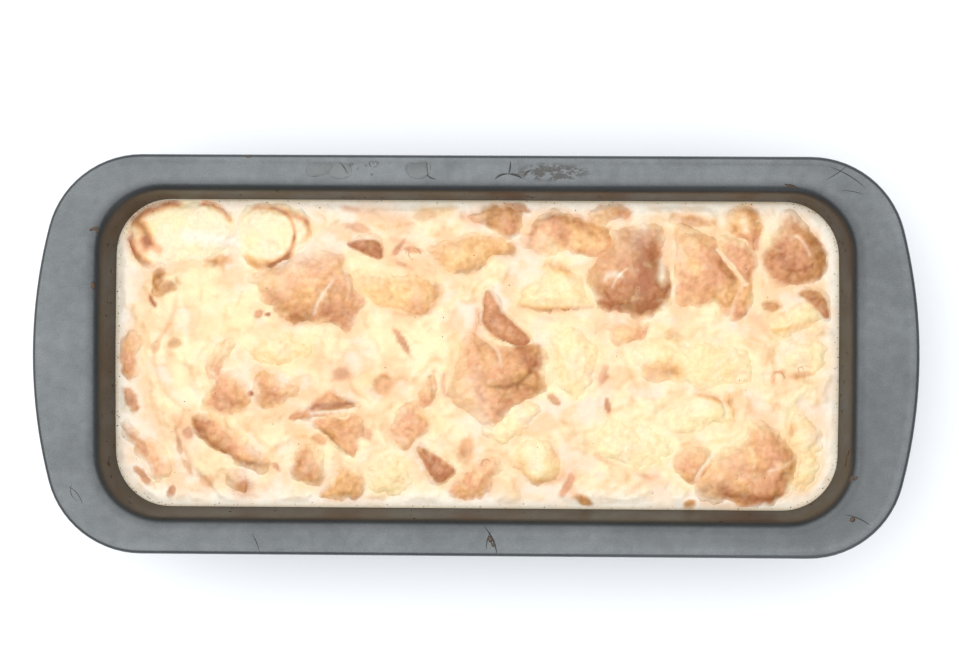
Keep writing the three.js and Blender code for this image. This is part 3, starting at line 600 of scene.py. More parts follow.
def colour(name, description, code):
    """A colour for a shader."""
    return FloatVectorProperty(
        name=name, description=description, default=paint(code), subtype="COLOR", size=3, min=0, max=1
    )


class TinSettings(PropertyGroup):
    """Sizes and colours of the loaf tin"""

    sheet: length("Sheet", "Thickness of the steel", 0.8)
    lean: number("Lean", "How far a wall leans out for each mm of height", 0.187)
    base_fillet: length("Base fillet", "Radius between base and wall", 6.0)
    mouth_half_length: length("Mouth half length", "Half the length of the mouth", 124.0)
    mouth_half_width: length("Mouth half width", "Half the width of the mouth", 55.5)
    mouth_corner: length("Mouth corner", "Corner radius of the mouth", 23.0)
    mouth_roll: length("Mouth roll", "Radius of the roll from wall to rim", 3.0)
    rim_corner: length("Rim corner", "Corner radius of the rim", 31.0)
    rim_bow: length("Rim bow", "Radius of the bowed ends of the rim", 165.0)
    rim_dish: length("Rim dish", "Depth of the rim's flat below its edges", 0.4)
    edge_roll: length("Edge roll", "Radius of the turned-down edge", 1.4)
    edge_drop: length("Edge drop", "How far the edge hangs below the rim's top", 3.2)
    coat: colour("Coat", "Grey non-stick coat", "#5D6164")
    coat_dark: colour("Dark coat", "Darker mottling in the coat", "#54585B")
    stain: colour("Stain", "Fat baked on to the inside of the wall", "#4C402C")
    fat: colour("Fat", "Wet fat smeared on the rim", "#201F1C")
    # Painted shade: a near-black colour laid on the roll of the mouth, standing in for its dark reflection.
    smoke: colour("Smoke", "Dark film on the roll of the mouth", "#1E1F1F")


class BreadSettings(PropertyGroup):
    """Sizes on a torn piece of bread"""

    grain: length("Grain", "Spacing of the points on a piece of bread", 0.5)
    swell: length("Swell", "Height of the soft swellings of a torn piece", 0.42)
    crumple: length("Crumple", "Height of the wrinkles of a soaked crust", 0.18)
    nap: length("Nap", "Height of the finest roughness", 0.06)
    veil: length("Veil", "How far the custard's film reaches over the edge of a piece", 3.0)


class CustardSettings(PropertyGroup):
    """Sizes and colours of the custard"""

    spacing: length("Spacing", "Spacing of the points on the surface", 0.585)
    mound: length("Mound", "Height of the mounds of sunk crumb", 0.75)
    curd: length("Curd", "Height of the small lumps on a mound", 0.16)
    meniscus: length("Meniscus", "How far the custard climbs a wall", 0.5)
    pale: colour("Pale", "Deep custard, pinkish white", "#FBE2C9")
    rich: colour("Rich", "Custard over sunk crumb, pale yellow", "#FFEBBA")
    warm: colour("Warm", "Custard over sunk crust, peach", "#F8CA98")
    # Partly the thin custard's own colour, partly painted shade cast by the wall.
    edge: colour("Edge", "Thin custard at the wall", "#A89A7C")
    # Also the colour of the painted highlights: on the first roll slice and along the wall.
    milk: colour("Milk", "Thin milk over bread", "#FFF9EC")


class StageSettings(PropertyGroup):
    """The floor and the lights"""

    floor: colour("Floor", "Pale floor", "#F6FAFF")
    key_power: watts("Key", "Power of the large soft light", 30.5)
    fill_power: watts("Fill", "Power of the fill light", 2.0)
    sky: number("Sky", "Strength of the even light all round", 0.4)


SETTINGS = {
    "pudding_tin": TinSettings,
    "pudding_bread": BreadSettings,
    "pudding_custard": CustardSettings,
    "pudding_stage": StageSettings,
}


def settings(name):
    """A group of settings, with its lengths in mm."""
    group = getattr(bpy.context.scene, name)
    found = SimpleNamespace()
    for prop in group.bl_rna.properties:
        if prop.type == "FLOAT":
            value = getattr(group, prop.identifier)
            setattr(found, prop.identifier, value / MM if prop.unit == "LENGTH" else value)
    return found


# ---- Mesh helpers --------------------------------------------------------------------------------------


def add_piece(name, bm, material, nodes=()):
    """Turns a bmesh in mm into a finished piece that rides on the frame."""
    bmesh.ops.scale(bm, vec=(MM, MM, MM), verts=bm.verts)
    for face in bm.faces:
        face.smooth = True
    mesh = bpy.data.meshes.new(name)
    bm.to_mesh(mesh)
    bm.free()
    mesh.materials.append(material)
    piece = bpy.data.objects.new(name, mesh)
    bpy.context.scene.collection.objects.link(piece)
    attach(piece, "root")
    if nodes:
        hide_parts(*nodes)
    return piece


def points_of(mesh):
    """The mesh's points in mm, one row each."""
    flat = np.empty(len(mesh.vertices) * 3, np.float32)
    mesh.vertices.foreach_get("co", flat)
    return flat.reshape(-1, 3) / MM


def move_points(mesh, points):
    """Puts the mesh's points at rows given in mm."""
    mesh.vertices.foreach_set("co", (points * MM).astype(np.float32).ravel())
    mesh.update()


def normals_of(mesh):
    """The mesh's point normals, one row each."""
    flat = np.empty(len(mesh.vertices) * 3, np.float32)
    mesh.vertex_normals.foreach_get("vector", flat)
    return flat.reshape(-1, 3)


def tint(mesh, colours):
    """Stores a colour for each point, which the material reads as its tint."""
    rgba = np.ones((len(colours), 4), np.float32)
    rgba[:, :3] = np.clip(colours, 0, 1)
    layer = mesh.color_attributes.new("tint", "FLOAT_COLOR", "POINT")
    layer.data.foreach_set("color", rgba.ravel())


def weight(mesh, name, values):
    """Stores a number for each point, which the material reads by its name."""
    layer = mesh.attributes.new(name, "FLOAT", "POINT")
    layer.data.foreach_set("value", np.asarray(values, np.float32))


def ripple(points, size, seed, octaves=2):
    """Smooth noise from about -1 to 1, with features of a size in mm."""
    shift = Vector((seed * 17.3, seed * 5.1, seed * 9.7))
    return np.array([noise.fractal(Vector(p) / size + shift, 1.0, 2.0, octaves) for p in points.tolist()])


def ease(values, low, high):
    """0 below low, 1 above high and smooth between."""
    t = np.clip((values - low) / (high - low), 0, 1)
    return t * t * (3 - 2 * t)


def blend(first, second, amount):
    """Rows of colour between two colours or rows of colour."""
    amount = np.atleast_1d(amount)[:, None]
    return np.asarray(first) * (1 - amount) + np.asarray(second) * amount


def stroke_cover(points, stroke):
    """How strongly a stroke covers each point, from 0 to 1. It is a soft line, bowed like a bent twig."""
    x1, y1, x2, y2, bow, width = stroke[:6]
    start, end = np.array([x1, y1]), np.array([x2, y2])
    reach = np.linalg.norm(end - start)
    ahead = (end - start) / reach
    aside = np.array([-ahead[1], ahead[0]])
    offset = points[:, :2] - start
    along = offset @ ahead / reach
    across = offset @ aside - 4 * bow * along * (1 - along)
    past = np.maximum(np.maximum(-along, along - 1), 0) * reach
    gap = np.hypot(across, past)
    return np.exp(-((gap / width) ** 2))


# ---- Tin outline ---------------------------------------------------------------------------------------

END_STEPS, CORNER_STEPS, SIDE_STEPS, ARC_STEPS = 10, 14, 16, 8
MOUTH_BOW = 2400.0  # radius of the mouth's ends, which are all but straight


def outline(half_length, half_width, corner, end_radius, inset=0.0):
    """Points round a rectangle with bowed ends and round corners, anticlockwise from the +X end."""
    half_length, half_width = half_length - inset, half_width - inset
    corner, end_radius = max(corner - inset, 1.0), end_radius - inset
    end_centre = half_length - end_radius
    corner_y = half_width - corner
    corner_x = end_centre + math.sqrt((end_radius - corner) ** 2 - corner_y**2)
    meet = math.atan2(corner_y, corner_x - end_centre)
    quarter = []
    for i in range(END_STEPS):
        a = meet * i / END_STEPS
        quarter.append((end_centre + end_radius * math.cos(a), end_radius * math.sin(a)))
    for i in range(CORNER_STEPS):
        a = meet + (math.pi / 2 - meet) * i / CORNER_STEPS
        quarter.append((corner_x + corner * math.cos(a), corner_y + corner * math.sin(a)))
    for i in range(SIDE_STEPS):
        quarter.append((corner_x * (1 - i / SIDE_STEPS), half_width))
    half = quarter + [(-x, y) for x, y in [(0.0, half_width)] + quarter[:0:-1]]
    return half + [(-x, -y) for x, y in half]


def mouth(tin, inset):
    """The outline of the mouth, moved in."""
    return outline(tin.mouth_half_length, tin.mouth_half_width, tin.mouth_corner, MOUTH_BOW, inset)


def rim(tin, inset):
    """The outline of the rim, moved in."""
    return outline(TIN_HIGH.x, TIN_HIGH.y, tin.rim_corner, tin.rim_bow, inset)


def roll_middle(tin):
    """The height of the middle of the mouth's roll, which runs out into the flat of the rim."""
    return RIM_TOP - tin.rim_dish - tin.mouth_roll


def wall_inset(tin, z):
    """How far inside the mouth's outline the inner wall is at a height."""
    lean = math.atan(tin.lean)
    roll_end = roll_middle(tin) + tin.mouth_roll * math.sin(lean)
    return tin.mouth_roll * math.cos(lean) + (roll_end - z) * tin.lean


def room_to_wall(tin, points):
    """How far inside the tin's wall each point is, in mm."""
    inset = np.array([wall_inset(tin, z) for z in points[:, 2]])
    corner = tin.mouth_corner - inset
    beyond_x = np.abs(points[:, 0]) - (tin.mouth_half_length - inset - corner)
    beyond_y = np.abs(points[:, 1]) - (tin.mouth_half_width - inset - corner)
    outside = np.hypot(np.maximum(beyond_x, 0), np.maximum(beyond_y, 0))
    return corner - outside - np.minimum(np.maximum(beyond_x, beyond_y), 0)


def arc(draw, tin, centre_inset, centre_z, radius, start, end):
    """Rings round a fillet or roll of the section, from one angle to another in degrees."""
    rings = []
    for i in range(ARC_STEPS + 1):
        a = math.radians(start + (end - start) * i / ARC_STEPS)
        z = centre_z + radius * math.sin(a)
        rings.append([(x, y, z) for x, y in draw(tin, centre_inset - radius * math.cos(a))])
    return rings


def ring(draw, tin, inset, z):
    """One ring of the section."""
    return [(x, y, z) for x, y in draw(tin, inset)]


def foot(tin, base_z, radius, margin):
    """The fillet between base and wall, offset inwards by a margin."""
    lean = math.atan(tin.lean)
    centre_z = base_z + radius
    centre_inset = wall_inset(tin, centre_z) + margin + radius / math.cos(lean)
    return arc(mouth, tin, centre_inset, centre_z, radius, -90, -math.degrees(lean))


def wall_rings(tin, low, high, steps, margin):
    """Rings up a stretch of wall."""
    heights = [low + (high - low) * i / steps for i in range(1, steps)]
    return [ring(mouth, tin, wall_inset(tin, z) + margin, z) for z in heights]


def loft(bm, rings):
    """Extrudes a circle through rings of points and closes both ends."""
    column = bm.verts.layers.int.new("column")
    circle = bmesh.ops.create_circle(bm, segments=len(rings[0]), radius=1.0)["verts"]
    for i, vert in enumerate(circle):
        vert[column] = i
        vert.co = rings[0][i]
    first = edges = list(bm.edges)
    for points in rings[1:]:
        grown = bmesh.ops.extrude_edge_only(bm, edges=edges)["geom"]
        verts = {g for g in grown if isinstance(g, bmesh.types.BMVert)}
        edges = [g for g in grown if isinstance(g, bmesh.types.BMEdge) and verts.issuperset(g.verts)]
        for vert in verts:
            vert.co = points[vert[column]]
    for end in (first, edges):
        bmesh.ops.contextual_create(bm, geom=end)
    bm.verts.layers.int.remove(column)
    bmesh.ops.recalc_face_normals(bm, faces=bm.faces)


# ---- Materials -----------------------------------------------------------------------------------------


class Shader:
    """A short way to write a node tree that ends in a Principled BSDF."""

    def __init__(self, name):
        self.material = bpy.data.materials.new(name)
        self.material.use_nodes = True
        self.tree = self.material.node_tree
        self.surface = self.tree.nodes["Principled BSDF"]
        self.place = self.node("ShaderNodeTexCoord").outputs["Object"]

    def node(self, kind, **settings):
        """A new node with its settings."""
        made = self.tree.nodes.new(kind)
        for key, value in settings.items():
            setattr(made, key, value)
        return made

    def feed(self, socket, value):
        """Links a socket to another, or sets it to a value."""
        if isinstance(value, bpy.types.NodeSocket):
            self.tree.links.new(value, socket)
        elif hasattr(value, "__len__") and len(value) == 3 and len(socket.default_value) == 4:
            socket.default_value = (*value, 1.0)
        else:
            socket.default_value = value

    def set(self, **values):
        """Feeds inputs of the Principled BSDF, with an underscore for each space in a name."""
        for name, value in values.items():
            self.feed(self.surface.inputs[name.replace("_", " ")], value)

    def noise(self, size, detail=3.0, roughness=0.5, stretch=None):
        """Noise with features of a size in mm."""
        made = self.node("ShaderNodeTexNoise")
        made.inputs["Scale"].default_value = 1 / (size * MM)
        made.inputs["Detail"].default_value = detail
        made.inputs["Roughness"].default_value = roughness
        place = self.place
        if stretch:
            mapping = self.node("ShaderNodeMapping")
            mapping.inputs["Scale"].default_value = stretch
            self.feed(mapping.inputs["Vector"], place)
            place = mapping.outputs["Vector"]
        self.feed(made.inputs["Vector"], place)
        return made.outputs["Fac"]

    def pores(self, size):
        """Distance to the middle of the nearest pore, in pore widths."""
        made = self.node("ShaderNodeTexVoronoi", feature="F1")
        made.inputs["Scale"].default_value = 1 / (size * MM)
        self.feed(made.inputs["Vector"], self.place)
        return made.outputs["Distance"]

    def near(self, middle, half):
        """1 at a place in mm and 0 outside an oval round it."""
        made = self.node("ShaderNodeVectorMath", operation="SUBTRACT")
        self.feed(made.inputs[0], self.place)
        made.inputs[1].default_value = Vector(middle) * MM
        scaled = self.node("ShaderNodeVectorMath", operation="DIVIDE")
        self.feed(scaled.inputs[0], made.outputs["Vector"])
        scaled.inputs[1].default_value = Vector(half) * MM
        distance = self.node("ShaderNodeVectorMath", operation="LENGTH")
        self.feed(distance.inputs[0], scaled.outputs["Vector"])
        return self.spread(distance.outputs["Value"], 0.55, 1.0, 1.0, 0.0)

    def spread(self, value, low, high, to_low=0.0, to_high=1.0):
        """Maps a value from one range to another, within its limits."""
        made = self.node("ShaderNodeMapRange", clamp=True)
        for index, given in enumerate((value, low, high, to_low, to_high)):
            self.feed(made.inputs[index], given)
        return made.outputs[0]

    def sum(self, first, second, operation="ADD"):
        """Two numbers combined by a Math operation."""
        made = self.node("ShaderNodeMath", operation=operation)
        self.feed(made.inputs[0], first)
        self.feed(made.inputs[1], second)
        return made.outputs[0]

    def mix(self, amount, first, second, blend_type="MIX"):
        """Two colours mixed."""
        made = self.node("ShaderNodeMix", data_type="RGBA", blend_type=blend_type)
        self.feed(made.inputs[0], amount)
        self.feed(made.inputs[6], first)
        self.feed(made.inputs[7], second)
        return made.outputs[2]

    def mix_number(self, amount, first, second):
        """Two numbers mixed."""
        made = self.node("ShaderNodeMix", data_type="FLOAT")
        self.feed(made.inputs[0], amount)
        self.feed(made.inputs[2], first)
        self.feed(made.inputs[3], second)
        return made.outputs[0]

    def attribute(self, name, output="Fac"):
        """What the mesh stores under a name."""
        return self.node("ShaderNodeAttribute", attribute_name=name).outputs[output]

    def bump(self, height, distance, strength=1.0):
        """A normal from a height from 0 to 1, which stands for a distance in mm."""
        made = self.node("ShaderNodeBump")
        made.inputs["Strength"].default_value = strength
        made.inputs["Distance"].default_value = distance * MM
        self.feed(made.inputs["Height"], height)
        return made.outputs["Normal"]


# Where a smear of fat lies on the rim, and its half sizes.
SMEAR_PLACE, SMEAR_HALF = (24.5, 58.9, 61.6), (14.0, 3.4, 2.0)
WATER_TONE = paint("#F2F4F2")


def coated_steel(tin):
    """Grey non-stick coat, speckled, with fat baked on where the stain attribute says, painted shade on the
    roll of the mouth and a smear of fat on the rim.
    """
    s = Shader("coated_steel")
    mottle = s.spread(s.noise(26.0, 4.0, 0.6), 0.35, 0.65)
    grey = s.mix(mottle, tin.coat_dark, tin.coat)
    speckle = s.spread(s.noise(0.5, 2.0), 0.4, 0.62, 0.93, 1.06)
    grey = s.mix(1.0, grey, speckle, "MULTIPLY")
    patchy = s.spread(s.noise(7.0, 5.0, 0.65), 0.3, 0.66, 0.45, 1.0)
    amount = s.sum(s.attribute("stain"), patchy, "MULTIPLY")
    # painted shade on the roll of the mouth
    smoke = s.sum(s.attribute("smoke"), 0.54, "MULTIPLY")
    smeared = s.spread(s.noise(2.6, 5.0, 0.7, (1.0, 1.6, 1.0)), 0.46, 0.52)
    smear = s.sum(s.near(SMEAR_PLACE, SMEAR_HALF), smeared, "MULTIPLY")
    rough = s.spread(s.noise(3.0, 4.0), 0.3, 0.7, 0.34, 0.44)
    # the smear of fat on the rim, over the coat with its painted shade on the roll
    fat_and_painted_shade = s.mix(smear, s.mix(smoke, grey, tin.smoke), tin.fat)
    s.set(
        Base_Color=s.mix(amount, fat_and_painted_shade, tin.stain),
        Roughness=s.mix_number(smear, s.mix_number(amount, rough, 0.62), 0.2),
        Metallic=s.mix_number(s.sum(amount, smear, "MAXIMUM"), 0.7, 0.0),
        Normal=s.bump(s.noise(0.7, 3.0), 0.03, 0.5),
    )
    return s.material


def soaked_bread(name):
    """Wet bread: its tint with fine mottling and pores, glossier where custard films it."""
    s = Shader(name)
    mottle = s.spread(s.noise(1.6, 6.0, 0.7), 0.3, 0.7, 0.75, 0.9)
    base = s.mix(1.0, s.attribute("tint", "Color"), mottle, "MULTIPLY")
    pits = s.spread(s.pores(1.1), 0.05, 0.4)
    height = s.sum(s.noise(0.9, 4.0, 0.6), pits, "MULTIPLY")
    s.set(
        Base_Color=base,
        Roughness=s.spread(s.attribute("film"), 0.0, 1.0, 0.5, 0.34),
        Normal=s.bump(height, 0.1, 0.5),
        Subsurface_Weight=0.12,
        Subsurface_Radius=(1.0, 0.55, 0.3),
        Subsurface_Scale=1.5 * MM,
    )
    return s.material


def egg_custard():
    """Glossy custard: its tint, faintly mottled, over small curds."""
    s = Shader("egg_custard")
    mottle = s.spread(s.noise(2.4, 6.0, 0.68), 0.3, 0.7, 0.75, 0.87)
    s.set(
        Base_Color=s.mix(1.0, s.attribute("tint", "Color"), mottle, "MULTIPLY"),
        Roughness=s.spread(s.noise(5.0, 3.0), 0.3, 0.7, 0.24, 0.36),
        Normal=s.bump(s.noise(1.4, 4.0, 0.55), 0.06, 0.4),
        Subsurface_Weight=0.12,
        Subsurface_Radius=(1.0, 0.7, 0.45),
        Subsurface_Scale=2.0 * MM,
    )
    return s.material


def small_finish(name, tone, roughness, speck):
    """A small piece's finish: one tone, a little lighter and darker at the scale of a speck in mm."""
    s = Shader(name)
    shade = s.spread(s.noise(speck, 4.0, 0.6), 0.3, 0.7, 0.75, 1.15)
    s.set(
        Base_Color=s.mix(1.0, tone, shade, "MULTIPLY"),
        Roughness=s.spread(s.noise(speck, 2.0), 0.3, 0.7, roughness * 0.8, roughness * 1.2),
        Normal=s.bump(s.noise(speck, 3.0), 0.05, 0.5),
    )
    return s.material


def clear_water():
    """A drop of water or melted fat."""
    s = Shader("clear_water")
    s.set(
        Base_Color=WATER_TONE,
        Roughness=s.spread(s.noise(2.0, 2.0), 0.3, 0.7, 0.03, 0.12),
        IOR=1.33,
        Transmission_Weight=1.0,
        Normal=s.bump(s.noise(1.5, 2.0), 0.02, 0.4),
    )
    return s.material


# ---- The tin -------------------------------------------------------------------------------------------

RIM_BLEND = 2.4  # the rim's dish starts this far in from its edge roll
RIM_WAVE = 0.12  # the rim isn't quite flat


def tin_rings(tin):
    """The tin's whole section: inner skin from the middle of the base, rim and outer skin."""
    lean = math.degrees(math.atan(tin.lean))
    roll_z = roll_middle(tin)
    floor_inset = wall_inset(tin, tin.sheet + tin.base_fillet) + 2 * tin.base_fillet
    flat_z = RIM_TOP - tin.rim_dish
    under_z = flat_z - tin.sheet
    edge_z = RIM_TOP - tin.edge_roll
    hem_z = RIM_TOP - tin.edge_drop
    inner_foot = foot(tin, tin.sheet, tin.base_fillet, 0.0)
    outer_foot = foot(tin, 0.0, tin.base_fillet + tin.sheet, -tin.sheet)
    inner = [
        ring(mouth, tin, floor_inset, tin.sheet),
        *inner_foot,
        *wall_rings(tin, inner_foot[-1][0][2], LEVEL - 2, 8, 0.0),
        *wall_rings(tin, LEVEL - 2.6, roll_z, 14, 0.0),
        *arc(mouth, tin, 0.0, roll_z, tin.mouth_roll, 180 - lean, 90),
    ]
    top = [
        ring(mouth, tin, -0.8, flat_z),
        ring(mouth, tin, -1.8, flat_z),
        ring(mouth, tin, -3.0, flat_z),
        ring(rim, tin, tin.edge_roll + RIM_BLEND, flat_z),
        ring(rim, tin, tin.edge_roll + RIM_BLEND / 2, flat_z + tin.rim_dish / 3),
        *arc(rim, tin, tin.edge_roll, edge_z, tin.edge_roll, 90, 0),
        ring(rim, tin, 0.0, hem_z + 0.2),
        ring(rim, tin, 0.2, hem_z),
        ring(rim, tin, tin.sheet - 0.2, hem_z),
        ring(rim, tin, tin.sheet, hem_z + 0.2),
        ring(rim, tin, tin.sheet, edge_z),
        ring(rim, tin, tin.edge_roll, RIM_TOP - tin.sheet),
        ring(rim, tin, tin.edge_roll + RIM_BLEND, under_z),
        ring(mouth, tin, -RIM_BLEND, under_z),
    ]
    outer = [
        *arc(mouth, tin, 0.0, roll_z, tin.mouth_roll - tin.sheet, 90, 180 - lean),
        *wall_rings(tin, roll_z, outer_foot[-1][0][2], 12, -tin.sheet),
        *reversed(outer_foot),
        ring(mouth, tin, floor_inset, 0.0),
    ]
    return inner + top + outer


def wave_rim(points):
    """Lets the rim wander down by a hair, as a pressed sheet does."""
    high = ease(points[:, 2], RIM_TOP - 6, RIM_TOP - 2)
    far = points * (1, 1, 0)
    points[:, 2] -= RIM_WAVE * high * (0.5 + 0.5 * np.clip(ripple(far, 45.0, 3), -1, 1))


def stain_of(tin, points):
    """How much fat is baked on at each point: most on the inner wall just over the custard, with a darker
    band just above the custard's level.
    """
    room = room_to_wall(tin, points)
    inner = ease(room, -0.5, -0.2) * ease(points[:, 2], LEVEL - 4, LEVEL - 1)
    thinner = 0.45 * ease(points[:, 2], LEVEL + 5, RIM_TOP - 1.5)
    gone = 0.5 * ease(points[:, 2], RIM_TOP - 2.5, RIM_TOP - 0.6)
    corner = ease(np.abs(points[:, 0]), 85, 115) * ease(np.abs(points[:, 1]), 25, 45)
    wander = 0.8 + 0.4 * ripple(points, 16.0, 5, 3)
    # a darker band on the wall just above the custard's level
    band_over_custard = np.exp(-(((points[:, 2] - LEVEL - 1.0) / 0.9) ** 2))
    baked = (1 - thinner - gone) * wander * (0.85 + 0.3 * corner)
    return np.clip(inner * (baked + 0.4 * band_over_custard), 0, 1)


def painted_roll_shade_of(tin, points):
    """How strongly painted shade darkens the roll of the mouth: most where the roll steepens."""
    level_with_rim = np.column_stack([points[:, :2], np.full(len(points), RIM_TOP)])
    inset = wall_inset(tin, RIM_TOP) + room_to_wall(tin, level_with_rim)
    upper = ease(points[:, 2], RIM_TOP - 6.0, RIM_TOP - 3.0)
    return upper * ease(inset, -1.8, 1.6) * (1 - 0.6 * ease(inset, 2.4, 3.6))


class PUDDING_OT_loaf_tin(Operator):
    """Makes the loaf tin: one pressed sheet with leaning walls and a wide, bowed rim"""

    bl_idname = "pudding.loaf_tin"
    bl_label = "Loaf Tin"

    def execute(self, context):
        tin = settings("pudding_tin")
        bm = bmesh.new()
        loft(bm, tin_rings(tin))
        piece = add_piece("pressed_loaf_tin", bm, coated_steel(tin), ["loaf_tin"])
        points = points_of(piece.data)
        weight(piece.data, "stain", stain_of(tin, points))
        weight(piece.data, "smoke", painted_roll_shade_of(tin, points))
        wave_rim(points)
        move_points(piece.data, points)
        return {"FINISHED"}


# ---- The bread -----------------------------------------------------------------------------------------


def bake_ramp(brown, gold):
    """Rows of crust colour for rows of how brown and how golden."""
    steps = np.linspace(0, 1, len(PINK_SERIES))
    series = []
    for colours in (PINK_SERIES, GOLD_SERIES):
        table = np.array(colours)
        series.append(np.column_stack([np.interp(brown, steps, table[:, c]) for c in range(3)]))
    return blend(series[0], series[1], np.clip(gold, 0, 1))


SKIRT = 4.0  # a piece goes on under the custard for this far outside its outline
SHOULDER = 8.0  # and it slopes up to its top over this distance inside it
SUNK_EDGE = 1.0  # depth of the skirt's edge
UNDERSIDE = 8.0  # depth of the flat underside
WALL_GAP = 0.25  # bread stays this far off the tin's wall


def curved(corners, steps=4):
    """A closed curve through corners, as points."""
    count = len(corners)
    p = np.array(corners)
    curve = []
    for i in range(count):
        before, here, there, after = (p[(i + k) % count] for k in (-1, 0, 1, 2))
        for step in range(steps):
            t = step / steps
            bend = 0.35 * ((there - before) * (t - 2 * t**2 + t**3) + (after - here) * (t**3 - t**2))
            curve.append(here + (there - here) * t * t * (3 - 2 * t) + bend)
    return np.array(curve)


def inside_by(points, curve):
    """How far inside a closed curve each point is, in mm. Outside, it is negative."""
    x, y = points[:, 0], points[:, 1]
    gap = np.full(len(points), np.inf)
    inside = np.zeros(len(points), bool)
    for (x1, y1), (x2, y2) in zip(curve, np.roll(curve, -1, axis=0)):
        dx, dy = x2 - x1, y2 - y1
        along = np.clip(((x - x1) * dx + (y - y1) * dy) / (dx * dx + dy * dy), 0, 1)
        gap = np.minimum(gap, np.hypot(x - x1 - along * dx, y - y1 - along * dy))
        if y1 != y2:
            inside ^= ((y1 > y) != (y2 > y)) & (x < x1 + (y - y1) * dx / dy)
    return np.where(inside, gap, -gap)


def raggedly(points, curve, crisp, seed):
    """How far inside its ragged outline each point of a torn piece is."""
    flat = points * (1, 1, 0)
    ragged = 0.9 * ripple(flat, 5.0, seed + 6, 3) + 0.3 * ripple(flat, 1.6, seed + 7, 2)
    return inside_by(flat, curve) + 0.5 + ragged * (1 - 0.6 * crisp)


def torn_lump(node, grain, crisp, seed):
    """A bmesh in mm of a piece of bread: it slopes up out of the custard within a ragged outline."""
    rise, corners = OUTLINES[node]
    curve = curved(corners)
    low, high = curve.min(axis=0) - SKIRT - grain, curve.max(axis=0) + SKIRT + grain
    cells = np.ceil((high - low) / grain).astype(int)
    bm = bmesh.new()
    inner = bm.verts.layers.float.new("inner")
    columns, rows = int(cells[0]), int(cells[1])
    grid = bmesh.ops.create_grid(bm, x_segments=columns, y_segments=rows, size=0.5)["verts"]
    bmesh.ops.scale(bm, vec=(*(high - low), 1), verts=grid)
    bmesh.ops.translate(bm, vec=(*((high + low) / 2), 0), verts=grid)
    depths = raggedly(np.array([v.co for v in grid]), curve, crisp, seed)
    bmesh.ops.delete(bm, geom=[v for v, d in zip(grid, depths) if d < -SKIRT], context="VERTS")
    for _ in range(6):
        border = [v for v in bm.verts if v.is_boundary]
        bmesh.ops.smooth_vert(bm, verts=border, factor=0.5, use_axis_x=True, use_axis_y=True)
    grown = bmesh.ops.extrude_face_region(bm, geom=bm.faces, use_keep_orig=True)["geom"]
    top = {g for g in grown if isinstance(g, bmesh.types.BMVert)}
    verts = list(bm.verts)
    depths = raggedly(np.array([v.co for v in verts]), curve, crisp, seed)
    shoulder = min(SHOULDER * (1 - 0.6 * crisp), 0.95 * depths.max())
    slope = ease(depths, -SKIRT, shoulder)
    for vert, depth, part in zip(verts, depths, slope):
        vert[inner] = depth
        reach = rise + SUNK_EDGE if vert in top else SUNK_EDGE - UNDERSIDE
        vert.co.z = LEVEL - SUNK_EDGE + reach * part - (0.0 if vert in top else 0.3)
    bmesh.ops.recalc_face_normals(bm, faces=bm.faces)
    return bm


def stroke_sums(points, strokes):
    """What the strokes add to browning, goldenness, milk and height at each point."""
    sums = np.zeros((4, len(points)))
    for stroke in strokes:
        cover = stroke_cover(points, stroke) * stroke[7]
        sums += np.outer(STROKE_EFFECTS[stroke[6]], cover)
    return sums


def attribute_of(mesh, name):
    """A number for each point that was stored under a name."""
    values = np.empty(len(mesh.vertices), np.float32)
    mesh.attributes[name].data.foreach_get("value", values)
    return values.astype(float)


def keep_off_wall(tin, points):
    """Moves points that would lie in the tin's wall back inside it."""
    step = 0.1
    for _ in range(3):
        room = room_to_wall(tin, points)
        slope_x = (room_to_wall(tin, points + (step, 0, 0)) - room) / step
        slope_y = (room_to_wall(tin, points + (0, step, 0)) - room) / step
        lack = np.maximum(WALL_GAP - room, 0)
        points[:, 0] += slope_x * lack
        points[:, 1] += slope_y * lack


